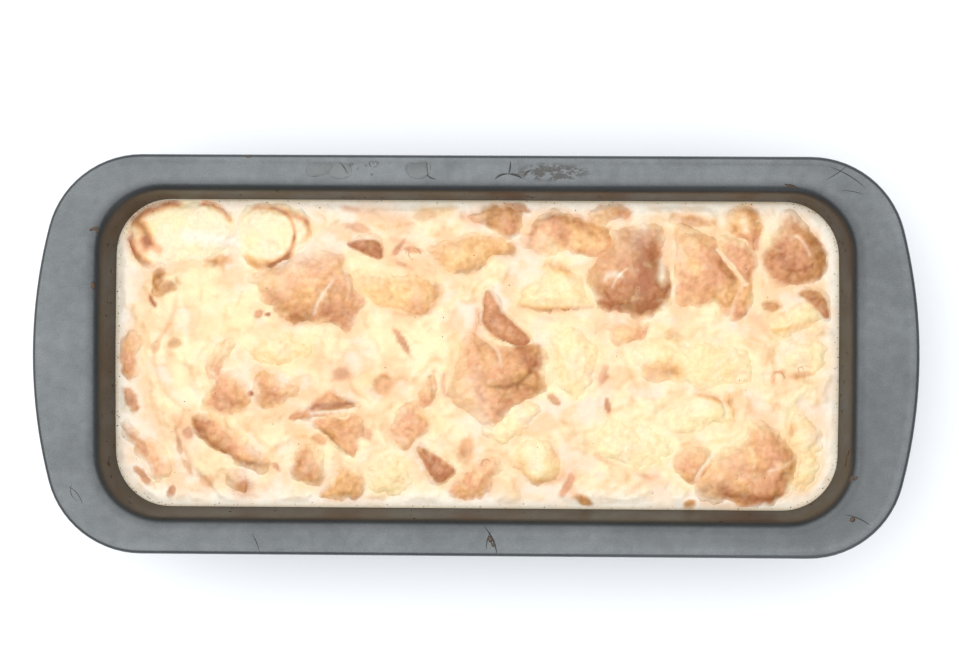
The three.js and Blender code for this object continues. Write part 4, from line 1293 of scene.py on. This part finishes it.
def dress_bread(piece, bake, seed):
    """Gives a lump its torn surface and its colours."""
    tin, bread, custard = (settings("pudding_" + part) for part in ("tin", "bread", "custard"))
    brown, gold, towards, change, crisp = bake
    points = points_of(piece.data)
    keep_off_wall(tin, points)
    move_points(piece.data, points)
    normals = normals_of(piece.data)
    wrinkle = 1 - 3.2 * np.abs(ripple(points, 4.6, seed + 1, 3))
    swell = ripple(points, 7.5, seed, 2)
    nap = ripple(points, 1.0, seed + 2, 2)
    strokes = stroke_sums(points, BREAD_STROKES)
    height = bread.swell * 1.6 * swell + bread.crumple * wrinkle + bread.nap * 1.6 * nap
    shown = ease(points[:, 2], LEVEL - 3.5, LEVEL - 1)
    room = np.clip((room_to_wall(tin, points) - 0.1) / 1.5, 0, 1)
    reach = (height * room + strokes[3]) * shown
    points += normals * reach[:, None]
    points[:, 2] = np.minimum(points[:, 2], RIM_TOP - 6)
    move_points(piece.data, points)
    turn = math.radians(towards)
    ahead = points[:, 0] * math.cos(turn) + points[:, 1] * math.sin(turn)
    lean = 2 * (ahead - ahead.min()) / (ahead.max() - ahead.min()) - 1
    patches = 0.15 * ripple(points, 5.5, seed + 3, 3) + 0.15 * ripple(points, 1.7, seed + 4, 3)
    flecks = ease(ripple(points, 0.9, seed + 5, 1), 0.42, 0.6)
    scale = 0.35 + 0.65 * min(brown * 2.2, 1.0)
    browning = brown + 0.5 * change * lean + scale * (1.2 * patches + 0.07 * flecks) + strokes[0]
    bare = bake_ramp(np.clip(browning, 0, 1), gold + 1.0 * ripple(points, 7.0, seed + 8, 2) + strokes[1])
    soft = np.clip(ease(-lean, -0.6, 0.8) + 0.9 * ripple(points, 9.0, seed + 9, 2), 0, 1) * (1 - crisp)
    veil = bread.veil * (0.7 * (1 - crisp) + 1.4 * soft) + 0.15
    inner = attribute_of(piece.data, "inner") + 1.8 * soft * ripple(points, 2.0, seed + 10, 3)
    clear = ease(inner, -0.7 * veil, veil)
    creases = 0.25 * ease(-wrinkle, -0.1, 0.9) * (1 - 0.5 * crisp)
    fade = min(1.0, 2.2 * change) * (1 - crisp) * ease(-lean, 0.0, 0.8)
    # milk from the strokes: pools of milk, and on the first roll slice a painted highlight
    milk = np.clip(strokes[2], 0, 1)
    clear = clear * (1 - creases) * (1 - fade) * (1 - 0.95 * milk)
    film = blend(custard_tones(tin, custard, points)[0], custard.milk, 0.8 * milk)
    tint(piece.data, blend(film, bare, clear))
    weight(piece.data, "film", 1 - clear)
    weight(piece.data, "clear", clear)
    layer = piece.data.color_attributes.new("bare", "FLOAT_COLOR", "POINT")
    layer.data.foreach_set("color", np.column_stack([bare, np.ones(len(bare))]).astype(np.float32).ravel())


class PUDDING_OT_bread(Operator):
    """Makes the torn pieces of bread that stand out of the custard"""

    bl_idname = "pudding.bread"
    bl_label = "Torn Bread"

    def execute(self, context):
        grain = settings("pudding_bread").grain
        finishes = {part: soaked_bread("soaked_" + part) for part in ("crust", "crumb", "roll_slice")}
        for seed, node in enumerate(BREAD_NODES):
            part = node.rsplit("_", 1)[0]
            name = ("soaked_" if part == "roll_slice" else "torn_") + node
            lump = torn_lump(node, grain, BAKES[node][4], 10 * seed)
            piece = add_piece(name, lump, finishes[part], [node])
            dress_bread(piece, BAKES[node], 10 * seed)
        return {"FINISHED"}


# ---- The custard ---------------------------------------------------------------------------------------

CORNER_ROWS = 52  # rows of points across a corner of the custard's surface
END_PACKING = 0.5  # how much the columns are packed towards the ends
WALL_BITE = 0.3  # the custard reaches this far into the wall, so that no gap shows
MOUND_SIZE = 11.0
CURD_SIZE = 2.0


def surface_rows(half_width, corner, spacing):
    """Where the rows of the custard's surface lie: even, but packed by angle across the round corners."""
    straight = half_width - corner
    angles = [math.pi / 2 * i / CORNER_ROWS for i in range(CORNER_ROWS, 0, -1)]
    steps = max(1, round(2 * straight / spacing))
    low = [-straight - corner * math.sin(a) for a in angles]
    middle = [-straight + 2 * straight * i / steps for i in range(steps + 1)]
    return low + middle + [-y for y in reversed(low)]


def custard_slab(tin, spacing):
    """A bmesh of the custard: a fine grid for its surface, drawn down to the base along the wall."""
    inset = wall_inset(tin, LEVEL) - WALL_BITE
    half_length, half_width = tin.mouth_half_length - inset, tin.mouth_half_width - inset
    corner = tin.mouth_corner - inset
    rows = surface_rows(half_width, corner, spacing)
    columns = round(2 * half_length / spacing)
    bm = bmesh.new()
    grid = bmesh.ops.create_grid(bm, x_segments=columns, y_segments=len(rows) - 1, size=1.0)["verts"]
    for vert in grid:
        y = rows[round((vert.co.y + 1) / 2 * (len(rows) - 1))]
        over = max(0.0, abs(y) - (half_width - corner))
        reach = half_length - corner + math.sqrt(max(0.0, corner**2 - over**2))
        across = (1 - END_PACKING) * vert.co.x + END_PACKING * math.sin(math.pi / 2 * vert.co.x)
        vert.co = (across * reach, y, LEVEL)
    edges = [e for e in bm.edges if e.is_boundary]
    flat = tin.sheet + WALL_BITE
    last_scale = (1.0, 1.0)
    for z in (LEVEL - 2, LEVEL / 2, flat + tin.base_fillet, flat):
        closer = (LEVEL - z) * tin.lean + (tin.base_fillet if z == flat else 0)
        scale = (1 - closer / half_length, 1 - closer / half_width)
        grown = bmesh.ops.extrude_edge_only(bm, edges=edges)["geom"]
        verts = {g for g in grown if isinstance(g, bmesh.types.BMVert)}
        edges = [g for g in grown if isinstance(g, bmesh.types.BMEdge) and verts.issuperset(g.verts)]
        for vert in verts:
            x, y = vert.co.x / last_scale[0], vert.co.y / last_scale[1]
            vert.co = (x * scale[0], y * scale[1], z)
        last_scale = scale
    bmesh.ops.contextual_create(bm, geom=edges)
    bmesh.ops.recalc_face_normals(bm, faces=bm.faces)
    return bm


class Pieces:
    """The surfaces of some pieces as one, to cast rays at."""

    def __init__(self, pieces):
        self.points = np.concatenate([points_of(piece.data) for piece in pieces])
        self.polygons = []
        total = 0
        for piece in pieces:
            self.polygons += [[total + i for i in face.vertices] for face in piece.data.polygons]
            total += len(piece.data.vertices)
        self.tree = BVHTree.FromPolygons(self.points.tolist(), self.polygons)

    def under(self, x, y, top):
        """The highest place under a point, its normal and one of its mesh points, or None."""
        place, normal, face, _ = self.tree.ray_cast(Vector((x, y, top)), Vector((0, 0, -1)))
        return (place, normal, self.polygons[face][0]) if place else None


def bread_pieces():
    """Every piece of bread made so far."""
    return [o for o in bpy.data.objects if o.name.startswith(("torn_", "soaked_roll_"))]


def bare_colours(mesh):
    """The colour of each point of bread without its film."""
    rgba = np.empty(len(mesh.vertices) * 4, np.float32)
    mesh.color_attributes["bare"].data.foreach_get("color", rgba)
    return rgba.reshape(-1, 4)[:, :3]


def beside_bread(bread, points):
    """How far each point of the surface is from where the nearest bread comes out of it."""
    waterline = bread.points[np.abs(bread.points[:, 2] - LEVEL) < 0.3]
    tree = KDTree(len(waterline))
    for i, (x, y, _) in enumerate(waterline.tolist()):
        tree.insert((x, y, 0.0), i)
    tree.balance()
    return np.array([tree.find((x, y, 0.0))[2] for x, y in points[:, :2].tolist()])


def sight_bread(bread, pieces, points):
    """For each point of the surface: the bread's height there, its bare colour and how clearly it shows."""
    colours = np.concatenate([bare_colours(piece.data) for piece in pieces])
    clear = np.concatenate([attribute_of(piece.data, "clear") for piece in pieces])
    heights = np.full(len(points), -50.0)
    seen = np.zeros((len(points), 3))
    shows = np.zeros(len(points))
    for i, (x, y, z) in enumerate(points.tolist()):
        hit = bread.under(x, y, RIM_TOP)
        if hit:
            heights[i] = hit[0].z
            seen[i] = colours[hit[2]]
            shows[i] = clear[hit[2]]
    return heights, seen, shows


def bit_cover(points, bit, ragged):
    """How clearly a bit of crust shows at each point of the surface, fainter if it lies deeper."""
    x, y, long, wide, turn, rise = bit[:6]
    turn = math.radians(turn)
    aside_x, aside_y = points[:, 0] - x, points[:, 1] - y
    along = (aside_x * math.cos(turn) + aside_y * math.sin(turn)) / (long / 2 + 0.3)
    across = (aside_y * math.cos(turn) - aside_x * math.sin(turn)) / (wide / 2 + 0.3)
    near = np.hypot(along, across) + ragged
    return (1 - ease(near, 0.55, 1.2)) * (1 + 0.4 * min(rise, 0))


def mounds_of(flat):
    """Where crumb lies just under the surface, from 0 to 1."""
    return ease(ripple(flat, MOUND_SIZE, 21, 3) + 0.16, -0.28, 0.4)


def custard_tones(tin, custard, points):
    """Rows of colour of the custard with what is sunk in it, and how far bits in it lift its surface."""
    flat = points * (1, 1, 0)
    room = room_to_wall(tin, flat + (0, 0, LEVEL))
    near_wall = ease(room, 1.0, 10.0)
    fine = 0.4 * ripple(flat, 2.6, 24, 3)
    warmth = 0.85 * ease(ripple(flat, 8.0, 23, 4), -0.3, 0.45)
    # Near the wall the custard turns milk-white: partly milk with no crumb under it, partly a painted
    # highlight on the meniscus.
    plain = blend(custard.milk, custard.pale, 0.15 + 0.85 * near_wall)
    colours = blend(plain, custard.rich, np.clip(mounds_of(flat) * (0.9 + fine), 0, 1) * near_wall)
    colours = blend(colours, custard.warm, np.clip(warmth + 0.5 * fine, 0, 1) * (0.3 + 0.7 * near_wall))
    lift = np.zeros(len(points))
    for stroke in VEILED_STROKES:
        seen = bake_ramp(np.full(len(points), stroke[6]), stroke[7])
        colours = blend(colours, seen, min(1.5 * stroke[8], 0.9) * stroke_cover(points, stroke))
    ragged = 0.4 * ripple(flat, 2.2, 31, 3)
    for bit in DRIFTING_BITS:
        cover = bit_cover(points, bit, ragged)
        brown = np.clip(bit[6] + 0.22 + 0.5 * ragged, 0, 1)
        colours = blend(colours, bake_ramp(brown, bit[7]), cover)
        lift += 0.5 * cover * max(0.0, bit[5] + 0.4)
    # Along the wall the custard turns to the edge colour: thin custard, and painted shade from the wall.
    return blend(colours, custard.edge, 0.85 * np.exp(-np.maximum(room, 0) / 1.1)), lift


def custard_relief(custard, flat, open_water, room):
    """The height of the surface over the custard's level."""
    curds = ripple(flat, CURD_SIZE, 22, 3)
    climb = custard.meniscus * np.exp(-np.maximum(room, 0) / 0.9)
    return mounds_of(flat) * open_water * (custard.mound + custard.curd * 1.6 * curds) + climb


class PUDDING_OT_custard(Operator):
    """Makes the custard, which rises over sunk crumb, climbs the wall and shows the bread in it"""

    bl_idname = "pudding.custard"
    bl_label = "Egg Custard"

    def execute(self, context):
        tin, custard = settings("pudding_tin"), settings("pudding_custard")
        slab = custard_slab(tin, custard.spacing)
        piece = add_piece("egg_custard", slab, egg_custard(), ["custard"])
        points = points_of(piece.data)
        surface = points[:, 2] > LEVEL - 0.01
        top = points[surface]
        pieces = bread_pieces()
        bread = Pieces(pieces)
        room = room_to_wall(tin, top)
        gap = beside_bread(bread, top)
        heights, bare, shows = sight_bread(bread, pieces, top)
        flat = top * (1, 1, 0)
        open_water = ease(gap, 0.3, 3.5) * ease(room, 0.5, 4.5) * (heights < LEVEL)
        colours, lift = custard_tones(tin, custard, top)
        relief = custard_relief(custard, flat, open_water, room) + lift * open_water
        top[:, 2] = LEVEL + relief + 0.15 * np.exp(-gap / 0.8) * (heights < LEVEL)
        colours = blend(colours, bare, shows)
        points[surface] = top
        move_points(piece.data, points)
        everywhere = np.tile(np.array(custard.pale), (len(points), 1))
        everywhere[surface] = colours
        tint(piece.data, everywhere)
        return {"FINISHED"}


# ---- Small things on the pudding ------------------------------------------------------------------------

SPECK_COUNT = 60  # anywhere on the surface
EDGE_SPECK_COUNT = 240  # along the wall
SPECK_TONE, RING_TONE = paint("#7A5138"), paint("#D3A176")
RING_TUBE = 0.11  # radius of the rim of a burst bubble
BUBBLES = [  # x, y, radius and how far round the ring goes, in degrees
    (85.4, -39.6, 0.75, 330),
    (106.8, -4.4, 0.85, 250),
    (99.3, -7.2, 2.1, 170),
    (3.5, -36.2, 1.6, 220),
    (-20.5, 33.0, 1.9, 260),
    (53.0, 22.0, 0.6, 360),
]


def lay_blob(bm, place, normal, size, turn=0.0, subdivisions=1):
    """Adds a flattened ball that lies on a surface."""
    blob = bmesh.ops.create_icosphere(bm, subdivisions=subdivisions, radius=1.0)["verts"]
    bmesh.ops.scale(bm, vec=size, verts=blob)
    bmesh.ops.rotate(bm, cent=(0, 0, 0), matrix=Matrix.Rotation(turn, 3, "Z"), verts=blob)
    tilt = Vector((0, 0, 1)).rotation_difference(normal).to_matrix()
    bmesh.ops.rotate(bm, cent=(0, 0, 0), matrix=tilt, verts=blob)
    bmesh.ops.translate(bm, vec=place, verts=blob)
    for vert in blob:
        vert.co.z = min(vert.co.z, RIM_TOP)
    return blob


class PUDDING_OT_specks(Operator):
    """Makes the dark specks of crust and the small rings of burst bubbles on the surface"""

    bl_idname = "pudding.specks"
    bl_label = "Specks and Bubbles"

    def execute(self, context):
        tin = settings("pudding_tin")
        shown = Pieces(bread_pieces() + [bpy.data.objects["egg_custard"]])
        draw = random.Random(11)
        bm = bmesh.new()
        for i in range(SPECK_COUNT + EDGE_SPECK_COUNT):
            if i < SPECK_COUNT:
                x = draw.uniform(CUSTARD_LOW.x + 2, CUSTARD_HIGH.x - 2)
                y = draw.uniform(CUSTARD_LOW.y + 2, CUSTARD_HIGH.y - 2)
            else:
                around = mouth(tin, wall_inset(tin, LEVEL) + draw.triangular(0.1, 1.6, 0.1))
                place, after = (Vector(around[(k + i * 17) % len(around)]) for k in (0, 1))
                x, y = place.lerp(after, draw.random())
            hit = shown.under(x, y, RIM_TOP)
            radius = draw.uniform(0.08, 0.2)
            if hit and hit[0].z > LEVEL - 1:
                size = (radius * draw.uniform(1, 1.8), radius, radius * 0.5)
                lay_blob(bm, hit[0], hit[1], size, draw.uniform(0, math.pi))
        add_piece("crust_specks", bm, small_finish("toasted_speck", SPECK_TONE, 0.5, 0.3))
        rings = bmesh.new()
        for x, y, radius, sweep in BUBBLES:
            hit = shown.under(x, y, RIM_TOP)
            start = bmesh.ops.create_circle(rings, segments=8, radius=RING_TUBE, cap_ends=sweep < 360)
            upright = Matrix.Rotation(math.pi / 2, 3, "X")
            bmesh.ops.rotate(rings, cent=(0, 0, 0), matrix=upright, verts=start["verts"])
            bmesh.ops.translate(rings, vec=hit[0] + Vector((radius, 0, 0.03)), verts=start["verts"])
            geom = start["verts"] + list({e for v in start["verts"] for e in v.link_edges})
            geom += list({f for v in start["verts"] for f in v.link_faces})
            bmesh.ops.spin(
                rings,
                geom=geom,
                cent=hit[0],
                axis=(0, 0, 1),
                angle=math.radians(sweep),
                steps=max(8, int(sweep / 15)),
                use_merge=sweep == 360,
            )
        bmesh.ops.recalc_face_normals(rings, faces=rings.faces)
        add_piece("burst_bubbles", rings, small_finish("bubble_ring", RING_TONE, 0.3, 0.4))
        return {"FINISHED"}


# ---- Marks on the tin ----------------------------------------------------------------------------------

DROPS = [  # x, y, half length, half width, height, turn
    (-18.3, 60.0, 4.0, 3.4, 0.3, 0),
    (-32.5, 61.6, 1.6, 1.2, 0.28, 10),
    (-50.0, 60.2, 4.6, 2.6, 0.28, 20),
    (-44.0, 59.6, 4.4, 3.0, 0.28, -12),
    (-39.8, 61.2, 0.7, 0.6, 0.25, 30),
    (-37.6, 59.9, 0.4, 0.4, 0.2, 0),
    (-34.9, 60.9, 0.35, 0.3, 0.2, 0),
    (-33.2, 58.0, 0.5, 0.45, 0.2, 0),
]
BAKED_SPOTS = [  # x, y, half length, half width, turn
    (-122.6, 40.2, 1.5, 0.5, 20),
    (-121.4, 39.4, 0.7, 0.5, 0),
    (-122.8, 22.0, 0.7, 1.3, 10),
    (-72.7, 63.6, 1.0, 0.4, 0),
    (5.4, -58.8, 1.1, 0.7, -70),
    (6.2, -60.6, 0.9, 0.35, -60),
    (121.3, -51.6, 0.9, 0.8, 0),
    (120.2, -33.4, 2.3, 0.9, 78),
    (120.6, -30.6, 1.2, 0.6, 60),
    (120.8, -38.6, 1.5, 0.5, 72),
    (122.2, -38.4, 0.9, 0.5, 40),
    (100.5, 54.9, 1.8, 0.35, -20),
]
SCRATCHES = [  # x and y of both ends, bow and width
    (11.2, 62.6, 10.6, 58.2, 0.25, 0.5),
    (10.6, 58.4, 6.2, 56.6, -0.6, 0.6),
    (10.6, 58.4, 15.0, 57.0, 0.4, 0.7),
    (15.8, 57.4, 18.0, 59.6, 0.5, 0.4),
    (-16.0, 62.6, -15.4, 57.6, 0.3, 0.35),
    (-15.8, 58.2, -12.6, 56.6, -0.3, 0.4),
    (-43.6, 62.0, -41.2, 58.4, 0.3, 0.35),
    (3.4, -54.6, 7.6, -63.6, 0.8, 0.55),
    (5.8, -56.0, 4.2, -62.0, -0.5, 0.35),
    (-71.2, -57.6, -68.6, -63.4, 0.2, 0.25),
    (113.5, 61.0, 124.6, 54.4, 0.7, 0.3),
    (112.0, 57.0, 119.0, 62.0, -0.4, 0.25),
    (117.0, 53.6, 124.0, 52.4, 0.3, 0.22),
    (98.8, 55.6, 103.4, 54.2, 0.3, 0.4),
    (118.6, -50.0, 127.0, -53.4, 0.6, 0.35),
    (-131.0, -42.6, -126.0, -48.4, 0.9, 0.22),
    (-129.4, -41.6, -127.8, -47.4, -1.2, 0.2),
]
WALL_SPOT_COUNT = 90  # scattered over the inner wall
BURNT_TONE, BARED_TONE = paint("#4A3320"), paint("#33302E")
ABOVE_RIM = RIM_TOP + 5.0  # marks are dropped on the tin from here


def add_scratch(bm, tin_surface, scratch):
    """Adds a thin sliver that follows the tin's surface."""
    x1, y1, x2, y2, bow, width = scratch
    steps = 14
    verts = bmesh.ops.create_grid(bm, x_segments=steps, y_segments=1, size=1.0)["verts"]
    ahead = Vector((x2 - x1, y2 - y1, 0))
    aside = Vector((-ahead.y, ahead.x, 0)).normalized()
    for vert in verts:
        along = (vert.co.x + 1) / 2
        body = 4 * along * (1 - along)
        across = bow * body + 0.5 * width * vert.co.y * (0.15 + 0.85 * body)
        place = Vector((x1, y1, 0)) + ahead * along + aside * across
        hit = tin_surface.under(place.x, place.y, ABOVE_RIM)
        vert.co = (place.x, place.y, (hit[0].z if hit else RIM_TOP - 1) + 0.05)
    faces = list({f for v in verts for f in v.link_faces})
    bmesh.ops.solidify(bm, geom=faces, thickness=0.08)


class PUDDING_OT_tin_marks(Operator):
    """Makes the drops, baked spots and scratches on the tin"""

    bl_idname = "pudding.tin_marks"
    bl_label = "Marks on the Tin"

    def execute(self, context):
        tin = settings("pudding_tin")
        surface = Pieces([bpy.data.objects["pressed_loaf_tin"]])
        draw = random.Random(5)
        drops = bmesh.new()
        for x, y, long, wide, tall, turn in DROPS:
            hit = surface.under(x, y, ABOVE_RIM)
            lay_blob(drops, hit[0], Vector((0, 0, 1)), (long, wide, tall), math.radians(turn), 4)
        add_piece("rim_drops", drops, clear_water())
        spots = bmesh.new()
        for x, y, long, wide, turn in BAKED_SPOTS:
            hit = surface.under(x, y, ABOVE_RIM)
            lay_blob(spots, hit[0], hit[1], (long, wide, 0.22), math.radians(turn), 2)
        for _ in range(WALL_SPOT_COUNT):
            z = draw.triangular(LEVEL + 0.8, RIM_TOP - 1.5, LEVEL + 2)
            around = mouth(tin, wall_inset(tin, z))
            i = draw.randrange(len(around))
            x, y = around[i]
            next_x, next_y = around[(i + 1) % len(around)]
            along = draw.random()
            inward = Vector((-(next_y - y), next_x - x, 0)).normalized()
            radius = draw.uniform(0.15, 0.55)
            place = (x + (next_x - x) * along, y + (next_y - y) * along, z)
            size = (radius * draw.uniform(1, 2.2), radius, 0.12)
            lay_blob(spots, place, inward, size, draw.uniform(0, 3), 1)
        add_piece("baked_spots", spots, small_finish("burnt_fat", BURNT_TONE, 0.45, 0.5))
        scratches = bmesh.new()
        for scratch in SCRATCHES:
            add_scratch(scratches, surface, scratch)
        bmesh.ops.recalc_face_normals(scratches, faces=scratches.faces)
        add_piece("rim_scratches", scratches, small_finish("bared_steel", BARED_TONE, 0.5, 0.4))
        return {"FINISHED"}


# ---- The stage -----------------------------------------------------------------------------------------

CAMERA_HEIGHT = 430.0  # over the rim
CAMERA_PLACE = (21.2, 19.1)
CAMERA_AIM = (15.8, 15.9)
CAMERA_ROLL = 0.32  # degrees
VIEW_CENTRE = (1.62, 7.52)  # what lies in the middle of the view, in the plane of the rim
VIEW_WIDTH = 306.85  # how much of that plane the view is wide
SENSOR_WIDTH = 36.0
FLOOR_HALF = 2500.0

# The size and place of each light, in metres, and its tint. Both lights face one spot.
LIT_SPOT = (0, 0, 0.05)
KEY_SIZE, KEY_PLACE, KEY_TONE = 1.8, (-0.2, 0.2, 1.5), (1.0, 0.99, 0.97)
FILL_SIZE, FILL_PLACE, FILL_TONE = 1.0, (0.6, -1.2, 0.7), (0.97, 0.98, 1.0)
SKY_TONE = (0.98, 0.99, 1.0, 1.0)


def add_light(name, size, power, place, tone):
    """A square area light that faces the tin."""
    data = bpy.data.lights.new(name, "AREA")
    data.shape = "SQUARE"
    data.size = size
    data.energy = power
    data.color = tone
    light = bpy.data.objects.new(name, data)
    bpy.context.scene.collection.objects.link(light)
    light.location = place
    light.rotation_euler = (Vector(LIT_SPOT) - Vector(place)).to_track_quat("-Z", "Y").to_euler()


def add_camera():
    """A camera that looks down on the tin, a little off its middle."""
    place = Vector((*CAMERA_PLACE, RIM_TOP + CAMERA_HEIGHT))
    back = (place - Vector((*CAMERA_AIM, RIM_TOP))).normalized()
    roll = math.radians(CAMERA_ROLL)
    up = back.cross(Vector((math.cos(roll), math.sin(roll), 0))).normalized()
    right = up.cross(back)
    data = bpy.data.cameras.new("camera")
    data.sensor_width = SENSOR_WIDTH
    data.lens = SENSOR_WIDTH * CAMERA_HEIGHT / VIEW_WIDTH
    data.shift_x = (VIEW_CENTRE[0] - CAMERA_AIM[0]) / VIEW_WIDTH
    data.shift_y = (VIEW_CENTRE[1] - CAMERA_AIM[1]) / VIEW_WIDTH
    camera = bpy.data.objects.new("camera", data)
    turned = Matrix((right, up, back)).transposed().to_4x4()
    camera.matrix_world = Matrix.Translation(place * MM) @ turned
    bpy.context.scene.collection.objects.link(camera)
    bpy.context.scene.camera = camera


class PUDDING_OT_stage(Operator):
    """Makes the pale floor, the soft lights and the camera"""

    bl_idname = "pudding.stage"
    bl_label = "Stage"

    def execute(self, context):
        stage = settings("pudding_stage")
        bm = bmesh.new()
        bmesh.ops.create_grid(bm, x_segments=2, y_segments=2, size=FLOOR_HALF * MM)
        mesh = bpy.data.meshes.new("floor")
        bm.to_mesh(mesh)
        bm.free()
        mesh.materials.append(plain_floor(stage))
        floor = bpy.data.objects.new("floor", mesh)
        bpy.context.scene.collection.objects.link(floor)
        add_light("key", KEY_SIZE, stage.key_power, KEY_PLACE, KEY_TONE)
        add_light("fill", FILL_SIZE, stage.fill_power, FILL_PLACE, FILL_TONE)
        world = bpy.data.worlds.new("even_light")
        world.use_nodes = True
        background = world.node_tree.nodes["Background"]
        background.inputs["Color"].default_value = SKY_TONE
        background.inputs["Strength"].default_value = stage.sky
        bpy.context.scene.world = world
        bpy.context.scene.view_settings.view_transform = "Standard"
        add_camera()
        return {"FINISHED"}


def plain_floor(stage):
    """A matt pale floor."""
    s = Shader("pale_floor")
    tone = s.spread(s.noise(300.0, 2.0), 0.3, 0.7, 0.99, 1.0)
    s.set(Base_Color=s.mix(1.0, stage.floor, tone, "MULTIPLY"), Roughness=0.8)
    return s.material


# ---- The add-on ----------------------------------------------------------------------------------------

OPERATORS = (
    PUDDING_OT_loaf_tin,
    PUDDING_OT_bread,
    PUDDING_OT_custard,
    PUDDING_OT_specks,
    PUDDING_OT_tin_marks,
    PUDDING_OT_stage,
)


class PUDDING_PT_panel(Panel):
    """Lists what makes the pudding, with its sizes and colours"""

    bl_label = "Bread Pudding"
    bl_idname = "PUDDING_PT_panel"
    bl_space_type = "VIEW_3D"
    bl_region_type = "UI"
    bl_category = "Pudding"

    def draw(self, context):
        for operator in OPERATORS:
            self.layout.operator(operator.bl_idname)
        for name in SETTINGS:
            box = self.layout.box()
            group = getattr(context.scene, name)
            for key in group.__annotations__:
                box.prop(group, key)


CLASSES = (*SETTINGS.values(), *OPERATORS, PUDDING_PT_panel)


def register():
    """Registers the classes and hangs the settings on the scene."""
    for cls in CLASSES:
        bpy.utils.register_class(cls)
    for name, group in SETTINGS.items():
        setattr(bpy.types.Scene, name, PointerProperty(type=group))


def unregister():
    """Takes back what register does."""
    for name in SETTINGS:
        delattr(bpy.types.Scene, name)
    for cls in reversed(CLASSES):
        bpy.utils.unregister_class(cls)


def main():
    """Makes every piece in order."""
    register()
    bpy.ops.pudding.loaf_tin()
    bpy.ops.pudding.bread()
    bpy.ops.pudding.custard()
    bpy.ops.pudding.specks()
    bpy.ops.pudding.tin_marks()
    bpy.ops.pudding.stage()


if __name__ == "__main__":
    main()
